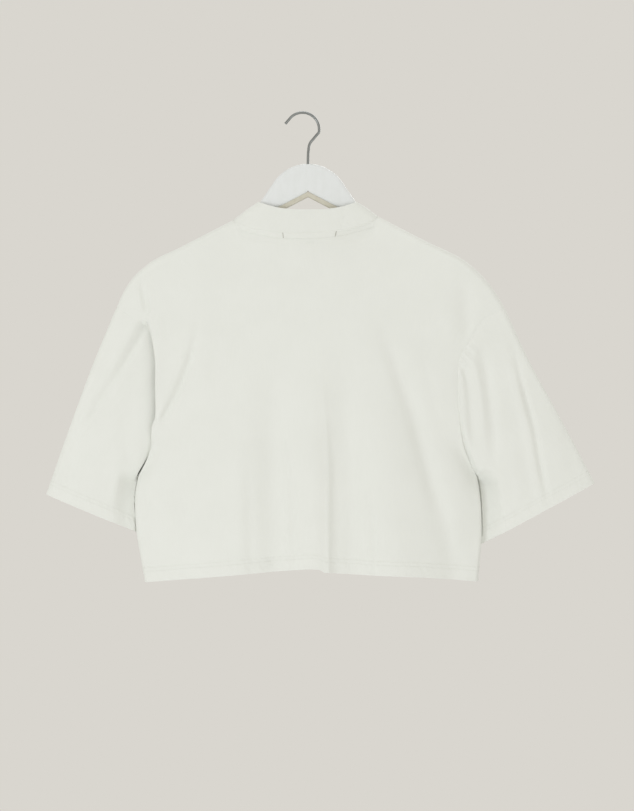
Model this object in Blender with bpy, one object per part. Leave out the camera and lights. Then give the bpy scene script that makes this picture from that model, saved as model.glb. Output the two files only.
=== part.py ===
"""Cropped T-shirt hung on a flat wooden hanger with a wire hook.

Metres, +Z up, +X the wearer's right, -Y the back panel's side. The origin is the inside of the hook's
crown, where a rail along Y carries the whole thing. Each cut piece of cloth is a wall through a grid
of its outer surface; neighbouring pieces share their seam points and stand SEAM_GAP apart.
"""

import math
from collections import namedtuple

import bmesh
import bpy
import numpy as np

# ---- cloth ----
WALL = 0.0015
PINCHED_WALL = 0.0010
SEAM_GAP = 0.0005
CORNER_GAP = 0.0008                 # more where three pieces meet at an angle
UNDERARM_GAP = 0.0022

# ---- hanger and hook ----
STEM_X = 0.0072                     # hook stem, notch and hump are centred here
WOOD_THICKNESS = 0.012
WOOD_ROUNDING = 0.0048
HUMP_RADIUS = 0.054
HUMP_TOP_Z = -0.0655
FLANK_ANGLE = math.radians(52)
ARM_ANGLE = math.radians(27.0)
ARM_REACH = 0.200                   # stem to the centre of the arm's round end
ARM_FOOT = (0.0718, -0.1293)        # reach and z where the flank meets the arm's top edge
FLANK_FILLET = 0.022

NOTCH_APEX_Z = -0.1036
NOTCH_ANGLE = math.radians(27.5)
BORE_RADIUS = 0.0021
BORE_DEPTH = 0.018
WIRE_RADIUS = 0.00175
HOOK_RADIUS = 0.02175               # centreline of the crown
HOOK_NECK = ((0.0195, -0.0265), (0.0145, -0.0325), (0.0098, -0.0385), (0.0080, -0.0460))
HOOK_TIP = (-0.0225, -0.0130)

# ---- neck ----
NECK_CENTRE_X = 0.004
NECK_HALF_WIDTH = 0.095
BACK_NECK_DROP = 0.0205             # below the neck points, at the centre
FRONT_NECK_DROP = 0.080
NECK_SEAM_DEPTH = {"back": 0.0185, "front": 0.0235}
NECK_SQUARENESS = 3.2               # 2 would make the neck an ellipse seen from above
BAND_TOP_CENTRE_X = 0.0066
BAND_TOP_HALF_WIDTH = 0.0650
BAND_TOP_Z = -0.1140
BAND_TOP_DROP = {"back": 0.0105, "front": 0.071}
BAND_TOP_DEPTH = {"back": 0.0135, "front": 0.0185}

# ---- hem ----
HEM_RISE = 0.0185                   # the middle of the hem hangs this much above its ends
HEM_RISE_POWER = 1.1

# Outline of each side of the body: x and z of the edge, and y of the back and front panels' edges there.
Station = namedtuple("Station", "x z y_back y_front")
SHOULDERS = {
    "left": [
        Station(-0.0910, -0.1390, 0, 0),
        Station(-0.1600, -0.1745, 0, 0),
        Station(-0.2010, -0.1955, 0, 0),
        Station(-0.2235, -0.2160, 0, 0),
        Station(-0.2365, -0.2370, 0, 0),
        Station(-0.2440, -0.2540, 0, 0),
    ],
    "right": [
        Station(0.0990, -0.1345, 0, 0),
        Station(0.1600, -0.1660, 0, 0),
        Station(0.2170, -0.1955, 0, 0),
        Station(0.2390, -0.2160, 0, 0),
        Station(0.2550, -0.2370, 0, 0),
        Station(0.2650, -0.2545, 0, 0),
    ],
}
ARMHOLES = {
    "left": [
        Station(-0.2440, -0.2540, -0.0055, 0.0060),
        Station(-0.2180, -0.2720, -0.0085, 0.0100),
        Station(-0.2000, -0.2880, -0.0105, 0.0125),
        Station(-0.1930, -0.3120, -0.0130, 0.0150),
        Station(-0.1910, -0.3600, -0.0145, 0.0170),
        Station(-0.1925, -0.4120, -0.0130, 0.0170),
        Station(-0.2010, -0.4460, -0.0070, 0.0130),
        Station(-0.2155, -0.4740, 0.0060, 0.0060),
    ],
    "right": [
        Station(0.2650, -0.2545, -0.0055, 0.0060),
        Station(0.2350, -0.2725, -0.0085, 0.0100),
        Station(0.2195, -0.2960, -0.0100, 0.0130),
        Station(0.2055, -0.3200, -0.0120, 0.0155),
        Station(0.2025, -0.3520, -0.0135, 0.0170),
        Station(0.2050, -0.4020, -0.0130, 0.0175),
        Station(0.2115, -0.4360, -0.0090, 0.0150),
        Station(0.2295, -0.4760, 0.0060, 0.0060),
    ],
}
SIDES = {
    "left": [
        Station(-0.2155, -0.4740, 0.0060, 0.0060),
        Station(-0.2190, -0.4920, 0.0035, 0.0035),
        Station(-0.2185, -0.5400, 0, 0),
        Station(-0.2065, -0.6130, 0, 0),
    ],
    "right": [
        Station(0.2295, -0.4760, 0.0060, 0.0060),
        Station(0.2325, -0.4960, 0.0035, 0.0035),
        Station(0.2350, -0.5520, 0, 0),
        Station(0.2300, -0.6120, 0, 0),
    ],
}

# How far each panel stands off the garment's middle plane, by height.
Depth = namedtuple("Depth", "z back front")
DEPTHS = [
    Depth(-0.130, 0.0092, 0.0092),
    Depth(-0.200, 0.0128, 0.0140),
    Depth(-0.300, 0.0190, 0.0225),
    Depth(-0.450, 0.0275, 0.0330),
    Depth(-0.615, 0.0330, 0.0390),
]
BACK_LENGTH = 0.43
RIDGE_RADIUS = 0.0085               # rounding over the hanger's arm
SIDE_RADIUS = 0.005                 # rounding of the side edges, below the underarm
SIDE_SHARE = 0.25
SIDE_SLOPE_REACH = 0.150

# Long soft folds: x at the top and at the hem end, heights between which it shows, half width, and how
# far it stands proud of the panel (negative for a trough).
Fold = namedtuple("Fold", "x_top x_low z_top z_low half_width height")
FOLDS = {
    "back": [
        Fold(-0.046, -0.052, -0.290, -0.660, 0.024, -0.0055),
        Fold(-0.004, 0.006, -0.330, -0.660, 0.020, 0.0045),
        Fold(0.026, 0.046, -0.250, -0.660, 0.018, -0.0045),
        Fold(0.078, 0.110, -0.330, -0.660, 0.032, 0.0040),
        Fold(0.092, 0.190, -0.240, -0.590, 0.016, -0.0035),
        Fold(-0.140, -0.120, -0.300, -0.660, 0.034, 0.0035),
    ],
    "front": [
        Fold(-0.110, -0.130, -0.300, -0.660, 0.028, 0.0050),
        Fold(-0.062, -0.070, -0.330, -0.660, 0.022, -0.0050),
        Fold(-0.008, -0.014, -0.280, -0.660, 0.024, 0.0055),
        Fold(0.044, 0.052, -0.310, -0.660, 0.020, -0.0050),
        Fold(0.100, 0.122, -0.290, -0.660, 0.030, 0.0045),
        Fold(0.150, 0.178, -0.340, -0.660, 0.018, -0.0035),
    ],
}

# The pleat where the back panel laps over the left sleeve, hiding the armhole seam.
LAP_RADIUS = 0.0035
LAP_LEG = 0.017
LAP_Z = (-0.270, -0.306, -0.398, -0.450)   # starts, full, full, ends
LAP_PROUD = 0.0015
HAIRPIN = 0.0100                    # the sleeve leaves the hidden seam this far behind the pleat
HAIRPIN_Z = (-0.256, -0.292, -0.436, -0.470)

# Sleeves: outer fold line and inner fold line from armhole to cuff, by share of the sleeve's length.
Edge = namedtuple("Edge", "share x y z")
SLEEVES = {
    "left": {
        "outer": [
            Edge(0.0, -0.2440, 0.000, -0.2540),
            Edge(0.3, -0.2745, 0.001, -0.3270),
            Edge(0.65, -0.3060, 0.002, -0.4140),
            Edge(1.0, -0.3360, 0.002, -0.4980),
        ],
        "inner": [
            Edge(0.0, -0.2155, 0.0060, -0.4740),
            Edge(0.10, -0.2215, 0.0130, -0.4800),
            Edge(0.32, -0.2145, 0.0215, -0.4990),
            Edge(1.0, -0.1840, 0.0330, -0.5620),
        ],
        "cuff_depth": 0.0140,
    },
    "right": {
        "outer": [
            Edge(0.0, 0.2650, 0.000, -0.2545),
            Edge(0.3, 0.2985, 0.001, -0.3260),
            Edge(0.65, 0.3420, 0.002, -0.4050),
            Edge(1.0, 0.3830, 0.002, -0.4835),
        ],
        "inner": [
            Edge(0.0, 0.2295, 0.0060, -0.4760),
            Edge(0.10, 0.2350, 0.0125, -0.4825),
            Edge(0.24, 0.2305, 0.0180, -0.4930),
            Edge(1.0, 0.2150, 0.0290, -0.5740),
        ],
        "cuff_depth": 0.0155,
    },
}
SLEEVE_CLEARANCE = 0.0035           # kept behind the front panel where the sleeve tucks under

# ---- grid of the cloth ----
NECK_SHARES = (0.264, 0.700)        # columns between these shares of the width end on the neck seam
EDGE_SHARES = (0.0, 0.006, 0.018, 0.042, 0.080, 0.125, 0.170, 0.215, 0.264)
NECK_COLUMNS = 14
TOP_SHARES = (0.0, 0.002, 0.006, 0.012, 0.022, 0.045)
UNDERARM_SHARE = 0.64
ARMHOLE_ROWS = 10
SIDE_ROWS = 7
LAP_COLUMNS = 7
SLEEVE_SHARES = (0.0, 0.018, 0.05, 0.11, 0.22, 0.36, 0.52, 0.68, 0.84, 1.0)
BAND_SHARES = (0.0, 0.33, 0.67, 1.0)

# ---- finishes: colour, roughness, metallic ----
JERSEY = ((0.79, 0.80, 0.745), 0.90, 0.0)
RIB = ((0.78, 0.785, 0.73), 0.92, 0.0)
PAINTED_WOOD = ((0.76, 0.77, 0.75), 0.45, 0.0)
STEEL = ((0.55, 0.55, 0.54), 0.30, 1.0)


def clear_scene():
    for obj in list(bpy.data.objects):
        bpy.data.objects.remove(obj, do_unlink=True)


def material(name, finish):
    colour, roughness, metallic = finish
    made = bpy.data.materials.new(name)
    made.use_nodes = True
    shader = made.node_tree.nodes["Principled BSDF"]
    shader.inputs["Base Color"].default_value = (*colour, 1.0)
    shader.inputs["Roughness"].default_value = roughness
    shader.inputs["Metallic"].default_value = metallic
    return made


def unit(vectors):
    return vectors / np.maximum(np.linalg.norm(vectors, axis=-1, keepdims=True), 1e-12)


def smooth(value):
    value = np.clip(value, 0.0, 1.0)
    return value * value * (3.0 - 2.0 * value)


def rounded(value):
    """Quarter circle: 0 at 0, 1 at 1 and beyond, upright at 0."""
    return np.sqrt(1.0 - (1.0 - np.clip(value, 0.0, 1.0)) ** 2)


def through(rows, key, column, at):
    """A smooth curve of one column through a table's rows, with slopes from each row's neighbours."""
    knots = np.array([getattr(row, key) if isinstance(key, str) else key(row) for row in rows], float)
    values = np.array([getattr(row, column) for row in rows], float)
    return hermite(knots, values, at)


def hermite(knots, values, at):
    if knots[0] > knots[-1]:
        knots, values = knots[::-1], values[::-1]
    slopes = np.gradient(values, knots)
    at = np.clip(at, knots[0], knots[-1])
    low = np.clip(np.searchsorted(knots, at, side="right") - 1, 0, len(knots) - 2)
    span = knots[low + 1] - knots[low]
    t = (at - knots[low]) / span
    rise = t * t * (3 - 2 * t)
    leave = t * (1 - t) ** 2 * span
    arrive = t * t * (t - 1) * span
    return (1 - rise) * values[low] + rise * values[low + 1] + leave * slopes[low] + arrive * slopes[low + 1]


def along(stations, share, column):
    """A column of an outline table at a share of the outline's length."""
    points = np.array([(s.x, s.z) for s in stations])
    steps = np.concatenate([[0], np.cumsum(np.linalg.norm(np.diff(points, axis=0), axis=1))])
    values = np.array([getattr(s, column) for s in stations], float)
    return hermite(steps / steps[-1], values, share)


# ---- body panels ----

def neck_drop(x, panel):
    """How far the neck seam dips below the line between the neck points."""
    across = np.clip((x - NECK_CENTRE_X) / NECK_HALF_WIDTH, -1, 1)
    if panel == "back":
        return BACK_NECK_DROP * (1 - across**2) ** 0.65
    return FRONT_NECK_DROP * (1 - np.abs(across) ** 2.4) ** 0.9


def top_edge(u, panel):
    """x, y, z of the shoulder lines and the neck seam, left to right."""
    left_end, right_end = NECK_SHARES
    left, right = SHOULDERS["left"], SHOULDERS["right"]
    on_left = u < (left_end + right_end) / 2
    x = np.where(
        on_left,
        along(left, 1 - u / left_end, "x"),
        along(right, (u - right_end) / (1 - right_end), "x"),
    )
    z = np.where(
        on_left,
        along(left, 1 - u / left_end, "z"),
        along(right, (u - right_end) / (1 - right_end), "z"),
    )
    across = (u - left_end) / (right_end - left_end)
    in_neck = (across > 1e-6) & (across < 1 - 1e-6)
    # The columns crowd towards the neck points, where the seam turns over the hanger.
    swing = -np.cos(np.pi * np.clip(across, 0, 1))
    neck_x = NECK_CENTRE_X + NECK_HALF_WIDTH * swing
    ends = (SHOULDERS["left"][0].z, SHOULDERS["right"][0].z)
    chord = ends[0] + (ends[1] - ends[0]) * across
    neck_z = chord - neck_drop(neck_x, panel)
    bow = (1 - np.abs(swing) ** NECK_SQUARENESS) ** (1 / NECK_SQUARENESS)
    toward = -1 if panel == "back" else 1
    y = np.where(in_neck, toward * NECK_SEAM_DEPTH[panel] * bow, 0.0)
    return np.where(in_neck, neck_x, x), y, np.where(in_neck, neck_z, z)


def side_edge(v, side, panel):
    """x, y, z of one armhole and the side seam under it, from the top down."""
    column = "y_back" if panel == "back" else "y_front"
    above = v < UNDERARM_SHARE
    up = np.clip(v / UNDERARM_SHARE, 0, 1)
    down = np.clip((v - UNDERARM_SHARE) / (1 - UNDERARM_SHARE), 0, 1)
    return tuple(
        np.where(above, along(ARMHOLES[side], up, name), along(SIDES[side], down, name))
        for name in ("x", column, "z")
    )


def hem_edge(u):
    left, right = SIDES["left"][-1], SIDES["right"][-1]
    x = left.x + (right.x - left.x) * u
    z = left.z + (right.z - left.z) * u + HEM_RISE * (1 - np.abs(2 * u - 1) ** HEM_RISE_POWER)
    return x, z


def fold_height(x, z, panel):
    total = np.zeros_like(x)
    for fold in FOLDS[panel]:
        down = np.clip((fold.z_top - z) / (fold.z_top - fold.z_low), 0, 1)
        middle = fold.x_top + (fold.x_low - fold.x_top) * down
        profile = np.exp(-(((x - middle) / fold.half_width) ** 2))
        total += fold.height * profile * smooth(down * 2.2)
    return total


def panel_point(u, v, panel):
    """Outer surface of the back or front panel at shares u across and v down."""
    toward = -1 if panel == "back" else 1
    top_x, top_y, top_z = top_edge(u, panel)
    hem_x, hem_z = hem_edge(u)
    left_x, left_y, left_z = side_edge(v, "left", panel)
    right_x, right_y, right_z = side_edge(v, "right", panel)
    corners_x = (1 - v) * ((1 - u) * ARMHOLES["left"][0].x + u * ARMHOLES["right"][0].x)
    corners_x = corners_x + v * ((1 - u) * SIDES["left"][-1].x + u * SIDES["right"][-1].x)
    corners_z = (1 - v) * ((1 - u) * ARMHOLES["left"][0].z + u * ARMHOLES["right"][0].z)
    corners_z = corners_z + v * ((1 - u) * SIDES["left"][-1].z + u * SIDES["right"][-1].z)
    x = (1 - v) * top_x + v * hem_x + (1 - u) * left_x + u * right_x - corners_x
    z = (1 - v) * top_z + v * hem_z + (1 - u) * left_z + u * right_z - corners_z

    depth = through(DEPTHS, "z", panel, z)
    reach = np.minimum(u, 1 - u) * (right_x - left_x)
    below = smooth((v - UNDERARM_SHARE + 0.10) / 0.16)
    share = SIDE_SHARE * below
    inward = share * rounded(reach / SIDE_RADIUS)
    inward = inward + (1 - share) * np.sin(np.pi / 2 * np.clip(reach / SIDE_SLOPE_REACH, 0, 1))
    over = rounded(v * BACK_LENGTH / RIDGE_RADIUS)
    inner = (1 - over) * top_y + toward * over * depth
    edge_y = np.where(u < 0.5, left_y, right_y) * np.where(v < UNDERARM_SHARE, over, 1)
    y = (1 - inward) * edge_y + inward * inner
    # On the shoulder line both panels meet at the middle plane.
    y = np.where(v <= 0, top_y, y)
    soft = smooth(reach / 0.045) * smooth((top_z - z) / 0.05)
    y = y + toward * fold_height(x, z, panel) * soft
    return np.stack([x, y, z], axis=-1)


def grid_shares():
    edge = np.array(EDGE_SHARES)
    neck = np.linspace(NECK_SHARES[0], NECK_SHARES[1], NECK_COLUMNS + 1)[1:-1]
    right = 1 - edge[::-1] * (1 - NECK_SHARES[1]) / NECK_SHARES[0]
    columns = np.concatenate([edge, neck, right])
    armhole = np.linspace(TOP_SHARES[-1], UNDERARM_SHARE, ARMHOLE_ROWS + 1)[1:]
    side = np.linspace(UNDERARM_SHARE, 1, SIDE_ROWS + 1)[1:]
    return columns, np.concatenate([TOP_SHARES, armhole, side])


def between(z, heights):
    """0 above the first height, 1 between the middle two, 0 below the last."""
    start, full, still, end = heights
    return smooth((start - z) / (start - full)) * smooth((z - end) / (still - end))


def lap_section(run, lapped):
    """How the cloth turns back under itself: run is the way from the pleat's front face to the seam.

    Returns how far each point has gone towards the sleeve and behind the front face, and how far the
    front face stands from the pleat's outermost line. First the cloth turns over, then the leg grows.
    """
    turn = max(math.pi * min(1.0, 2 * lapped), 1e-4)
    leg = LAP_LEG * max(0.0, 2 * lapped - 1)
    bend = math.pi * LAP_RADIUS
    plain = LAP_LEG - leg
    radius = bend / turn
    around = np.clip((run - plain) / bend, 0, 1) * turn
    after = np.clip(run - plain - bend, 0, None)
    out = np.minimum(run, plain) + radius * np.sin(around) + after * math.cos(turn)
    behind = radius * (1 - np.cos(around)) + after * math.sin(turn)
    reach = plain + radius * math.sin(min(turn, math.pi / 2))
    return out, behind, reach


def back_grid():
    """The back panel, with the pleat that laps over the left sleeve as its first columns."""
    columns, rows = grid_shares()
    width = ARMHOLES["right"][4].x - ARMHOLES["left"][4].x
    lap_length = math.pi * LAP_RADIUS + LAP_LEG
    lap_share = lap_length / width
    beyond = np.concatenate([[lap_share], columns[columns > lap_share + 0.004]])
    run = lap_length * (1 - np.arange(LAP_COLUMNS) / LAP_COLUMNS)
    grid = []
    for v in rows:
        edge_z = panel_point(np.array([0.0]), np.array([v]), "back")[0, 2]
        lapped = float(between(edge_z, LAP_Z)) if v < UNDERARM_SHARE else 0.0
        out, behind, reach = lap_section(run, lapped)
        lead = (lap_length - reach) / width
        moved = beyond - lead * np.exp(-(beyond - lap_share) / 0.12)
        body = panel_point(moved, np.full_like(moved, v), "back")
        body[:, 1] -= LAP_PROUD * lapped * np.exp(-(moved / 0.03) ** 2)
        shares = lap_share * np.arange(LAP_COLUMNS + 1) / LAP_COLUMNS
        plain = panel_point(shares, np.full(LAP_COLUMNS + 1, v), "back")
        drift = (plain[:-1] - plain[-1]) * (1 - lapped)
        drift[:, 0] += run * (1 - lapped)
        lap = body[0] + np.stack([-out, behind, np.zeros_like(out)], axis=-1) + drift
        grid.append(np.concatenate([lap, body]))
    return np.array(grid)


def front_grid():
    columns, rows = grid_shares()
    u, v = np.meshgrid(columns, rows)
    return panel_point(u, v, "front")


# ---- sleeves ----

def front_stand(x, z):
    """y of the front panel's outer surface at x, z, for what has to hang behind it."""
    v = np.clip((SIDES["left"][0].z - z) / (SIDES["left"][0].z - SIDES["left"][-1].z), 0, 1)
    v = UNDERARM_SHARE + (1 - UNDERARM_SHARE) * v
    left_x, left_y, _ = side_edge(v, "left", "front")
    right_x, _, _ = side_edge(v, "right", "front")
    u = (x - left_x) / (right_x - left_x)
    reach = np.minimum(u, 1 - u) * (right_x - left_x)
    depth = through(DEPTHS, "z", "front", z)
    inward = SIDE_SHARE * rounded(reach / SIDE_RADIUS)
    inward = inward + (1 - SIDE_SHARE) * np.sin(np.pi / 2 * np.clip(reach / SIDE_SLOPE_REACH, 0, 1))
    stand = (1 - inward) * left_y + inward * depth
    return stand, reach


def sleeve_grid(side, back_edge, front_edge):
    """Rings from the armhole loop to the cuff: down the back, round the underarm, up the front."""
    loop = np.concatenate([back_edge, front_edge[-2:0:-1]])
    count = len(loop)
    half = len(back_edge) - 1
    steps = np.linalg.norm(np.diff(np.concatenate([loop, loop[:1]]), axis=0), axis=1)
    run = np.concatenate([[0], np.cumsum(steps)])[:-1]
    angle = np.where(
        np.arange(count) <= half,
        math.pi * run / run[half],
        math.pi * (1 + (run - run[half]) / (steps.sum() - run[half])),
    )
    sizes = SLEEVES[side]

    def ring(share):
        outer = np.array([through(sizes["outer"], "share", c, np.array(share)) for c in "xyz"])
        inner = np.array([through(sizes["inner"], "share", c, np.array(share)) for c in "xyz"])
        across = (1 - np.cos(angle))[:, None] / 2
        points = (1 - across) * outer + across * inner
        depth = 0.012 + (sizes["cuff_depth"] - 0.012) * share
        points[:, 1] -= depth * np.sign(np.sin(angle)) * np.abs(np.sin(angle)) ** 0.8
        return points

    start = ring(0.0)
    across = (1 - np.cos(angle)) / 2
    # The seam's own shape fades along the sleeve, and sooner near the underarm.
    fade = 0.85 - 0.65 * smooth((across - 0.6) / 0.4)
    rings = []
    for share in SLEEVE_SHARES:
        points = ring(share) + (loop - start) * (1 - smooth(share / fade))[:, None]
        if side == "left":
            behind = between(loop[:, 2], HAIRPIN_Z) * (np.arange(count) < half)
            sink = (1 - math.exp(-share / 0.012)) * (1 - smooth(np.array((share - 0.1) / 0.8)))
            points[:, 1] += HAIRPIN * behind * sink
        if share > 0:
            stand, reach = front_stand(points[:, 0], points[:, 2])
            near = smooth((reach + 0.012) / 0.012) * smooth((SIDES[side][0].z + 0.006 - points[:, 2]) / 0.012)
            lift = np.clip(stand + SLEEVE_CLEARANCE - points[:, 1], 0, None) * near
            for index in range(1, half + 1):
                partner = (count - index) % count
                both = lift[index]
                points[index, 1] += both
                if partner != index:
                    points[partner, 1] += both
        rings.append(points)
    return np.array(rings)


# ---- neckband ----

def band_grid(seam_back, seam_front):
    """Rings from the neck seam up to the band's open top edge."""
    loop = np.concatenate([seam_back, seam_front[-2:0:-1]])
    is_back = np.arange(len(loop)) < len(seam_back)
    across = (loop[:, 0] - NECK_CENTRE_X) / NECK_HALF_WIDTH
    across = np.clip(across, -1, 1)
    bow = (1 - np.abs(across) ** NECK_SQUARENESS) ** (1 / NECK_SQUARENESS)
    depth = np.where(is_back, -BAND_TOP_DEPTH["back"], BAND_TOP_DEPTH["front"])
    drop = np.where(is_back, BAND_TOP_DROP["back"], BAND_TOP_DROP["front"])
    top = np.stack(
        [
            BAND_TOP_CENTRE_X + BAND_TOP_HALF_WIDTH * across,
            depth * bow,
            BAND_TOP_Z - drop * (1 - np.abs(across) ** 3) ** 1.2,
        ],
        axis=-1,
    )
    shares = np.array(BAND_SHARES)[:, None, None]
    return (1 - shares) * loop + shares * top


# ---- cloth walls ----

def grid_normals(grid, closed, outward):
    """Unit normals of a grid's outer surface; outward gives the side they face, per point."""
    if closed:
        wide = np.concatenate([grid[:, -1:], grid, grid[:, :1]], axis=1)
        across = wide[:, 2:] - wide[:, :-2]
    else:
        across = np.gradient(grid, axis=1)
    down = np.gradient(grid, axis=0)
    normals = unit(np.cross(across, down))
    facing = np.sum(normals * outward)
    return normals if facing > 0 else -normals


def share_normals(*places):
    """Gives seam points the same normal in each piece that meets there. A place is (normals, index)."""
    total = unit(sum(normals[index] for normals, index in places))
    for normals, index in places:
        normals[index] = total


def draw_in(grid, edge, corners=(), further=CORNER_GAP):
    """Moves one edge of a grid half a seam gap into its own cloth, and its corner points further."""
    line, next_line = {
        "top": (grid[0], grid[1]),
        "left": (grid[:, 0], grid[:, 1]),
        "right": (grid[:, -1], grid[:, -2]),
    }[edge]
    pull = np.full(len(line), SEAM_GAP / 2)
    pull[list(corners)] += further
    line += pull[:, None] * unit(next_line - line)


def wall_object(name, outer, normals, closed, finish, pinched=()):
    """A closed wall of the cloth's thickness inside a grid of its outer points.

    The wall is thinner at the first rings of the pinched columns, where seams meet at the underarm.
    """
    thickness = np.full(outer.shape[:2], WALL)
    thickness[:2, list(pinched)] = PINCHED_WALL
    inner = outer - thickness[..., None] * normals
    rows, columns = outer.shape[:2]
    mesh = bmesh.new()
    outside = [[mesh.verts.new(p) for p in row] for row in outer]
    inside = [[mesh.verts.new(p) for p in row] for row in inner]
    last = columns if closed else columns - 1
    for j in range(rows - 1):
        for i in range(last):
            k = (i + 1) % columns
            mesh.faces.new((outside[j][i], outside[j][k], outside[j + 1][k], outside[j + 1][i]))
            mesh.faces.new((inside[j][i], inside[j + 1][i], inside[j + 1][k], inside[j][k]))
    for i in range(last):
        k = (i + 1) % columns
        mesh.faces.new((outside[0][k], outside[0][i], inside[0][i], inside[0][k]))
        mesh.faces.new((outside[-1][i], outside[-1][k], inside[-1][k], inside[-1][i]))
    if not closed:
        for j in range(rows - 1):
            mesh.faces.new((outside[j][0], outside[j + 1][0], inside[j + 1][0], inside[j][0]))
            mesh.faces.new((outside[j + 1][-1], outside[j][-1], inside[j][-1], inside[j + 1][-1]))
    bmesh.ops.recalc_face_normals(mesh, faces=mesh.faces)
    return mesh_object(name, mesh, finish)


def mesh_object(name, mesh, finish):
    data = bpy.data.meshes.new(name)
    mesh.to_mesh(data)
    mesh.free()
    obj = bpy.data.objects.new(name, data)
    bpy.context.scene.collection.objects.link(obj)
    data.materials.append(material(name, finish))
    return obj


def build_cloth():
    back, front = back_grid(), front_grid()
    underarm = len(TOP_SHARES) + ARMHOLE_ROWS - 1
    lap_extra = back.shape[1] - front.shape[1]
    first, last = len(EDGE_SHARES) - 1, len(EDGE_SHARES) - 1 + NECK_COLUMNS
    span = last - first
    back_top = slice(first + lap_extra, last + lap_extra + 1)
    front_top = slice(first, last + 1)

    band = band_grid(back[0, back_top], front[0, front_top])
    left = sleeve_grid("left", back[: underarm + 1, 0], front[: underarm + 1, 0])
    right = sleeve_grid("right", back[: underarm + 1, -1], front[: underarm + 1, -1])

    back_n = grid_normals(back, False, np.array((0, -1, 0)))
    front_n = grid_normals(front, False, np.array((0, 1, 0)))
    sleeve_n = [grid_normals(g, True, g - g.mean(axis=1, keepdims=True)) for g in (left, right)]
    band_n = grid_normals(band, True, band - band.mean(axis=1, keepdims=True))

    # The shoulder ridge faces straight up and out across its seam, and the side seams straight out.
    ends = len(EDGE_SHARES)
    for normals in (back_n, front_n):
        for columns in (slice(0, normals.shape[1] - span - ends), slice(-ends, None)):
            normals[0, columns, 1] = 0
        normals[0] = unit(normals[0])
        for column in (0, -1):
            normals[underarm:, column, 1] = 0
            normals[underarm:, column] = unit(normals[underarm:, column])

    half = underarm
    for (sleeve, column) in ((sleeve_n[0], 0), (sleeve_n[1], -1)):
        for row in range(1, half):
            share_normals((back_n, (row, column)), (sleeve, (0, row)))
            share_normals((front_n, (row, column)), (sleeve, (0, sleeve.shape[1] - row)))
        share_normals((back_n, (0, column)), (front_n, (0, column)), (sleeve, (0, 0)))
        share_normals((back_n, (half, column)), (front_n, (half, column)), (sleeve, (0, half)))
    for step in range(1, span):
        share_normals((back_n, (0, first + lap_extra + step)), (band_n, (0, step)))
        share_normals((front_n, (0, first + step)), (band_n, (0, band_n.shape[1] - step)))
    for step, (b, f) in ((0, (first + lap_extra, first)), (span, (last + lap_extra, last))):
        share_normals((back_n, (0, b)), (front_n, (0, f)), (band_n, (0, step)))

    for grid in (back, front):
        draw_in(grid, "top")
        draw_in(grid, "left", (half,), UNDERARM_GAP)
        draw_in(grid, "right", (half,), UNDERARM_GAP)
    draw_in(band, "top", (span - 1, span, span + 1, span + 2, -3, -2, -1, 0, 1))
    for grid in (left, right):
        draw_in(grid, "top", range(half - 2, half + 3), UNDERARM_GAP / 2)

    wall_object("back", back, back_n, False, JERSEY)
    wall_object("front", front, front_n, False, JERSEY)
    pinched = range(half - 2, half + 3)
    wall_object("sleeve_left", left, sleeve_n[0], True, JERSEY, pinched)
    wall_object("sleeve_right", right, sleeve_n[1], True, JERSEY, pinched)
    wall_object("neckband", band, band_n, True, RIB)


# ---- hanger ----

def fillet(corner, before, after, radius, steps=5):
    """Points of an arc that rounds a corner between two straight edges."""
    corner, before, after = (np.array(p, float) for p in (corner, before, after))
    arrive, leave = unit(before - corner), unit(after - corner)
    half_angle = math.acos(float(np.clip(arrive @ leave, -1, 1))) / 2
    bisector = unit(arrive + leave)
    centre = corner + bisector * radius / math.sin(half_angle)
    start = corner + arrive * radius / math.tan(half_angle) - centre
    end = corner + leave * radius / math.tan(half_angle) - centre
    first = math.atan2(start[1], start[0])
    turn = (math.atan2(end[1], end[0]) - first + math.pi) % (2 * math.pi) - math.pi
    angles = first + turn * np.linspace(0, 1, steps)
    return [tuple(centre + radius * np.array((math.cos(a), math.sin(a)))) for a in angles]


def hanger_half_outline():
    """Right half, as reach and z: from the hump's top over the arm and back to the notch's apex."""
    centre_z = HUMP_TOP_Z - HUMP_RADIUS
    angles = np.linspace(0, FLANK_ANGLE, 8)
    hump = [(HUMP_RADIUS * math.sin(a), centre_z + HUMP_RADIUS * math.cos(a)) for a in angles]
    end_top = ARM_FOOT[1] - (ARM_REACH - ARM_FOOT[0]) * math.tan(ARM_ANGLE)
    end_low = NOTCH_APEX_Z - ARM_REACH * math.tan(NOTCH_ANGLE)
    end_radius = (end_top - end_low) * math.cos(ARM_ANGLE) / 2
    middle = np.array((ARM_REACH, (end_top + end_low) / 2))
    rounds = ARM_ANGLE + np.linspace(0, math.pi, 9)
    points = hump
    points += fillet(ARM_FOOT, hump[-1], (ARM_REACH, end_top), FLANK_FILLET)
    points += [tuple(middle + end_radius * np.array((math.sin(a), math.cos(a)))) for a in rounds]
    return [*points, (0.0, NOTCH_APEX_Z)]


def inset(outline, distance):
    """The outline with every edge moved inwards; outline runs clockwise seen from -Y."""
    points = np.array(outline)
    arrive = unit(points - np.roll(points, 1, axis=0))
    leave = unit(np.roll(points, -1, axis=0) - points)
    inward = unit(np.stack([arrive[:, 1] + leave[:, 1], -arrive[:, 0] - leave[:, 0]], axis=-1))
    normal = np.stack([leave[:, 1], -leave[:, 0]], axis=-1)
    stretch = 1 / np.sum(inward * normal, axis=-1)
    return points + inward * (distance * stretch)[:, None]


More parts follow.
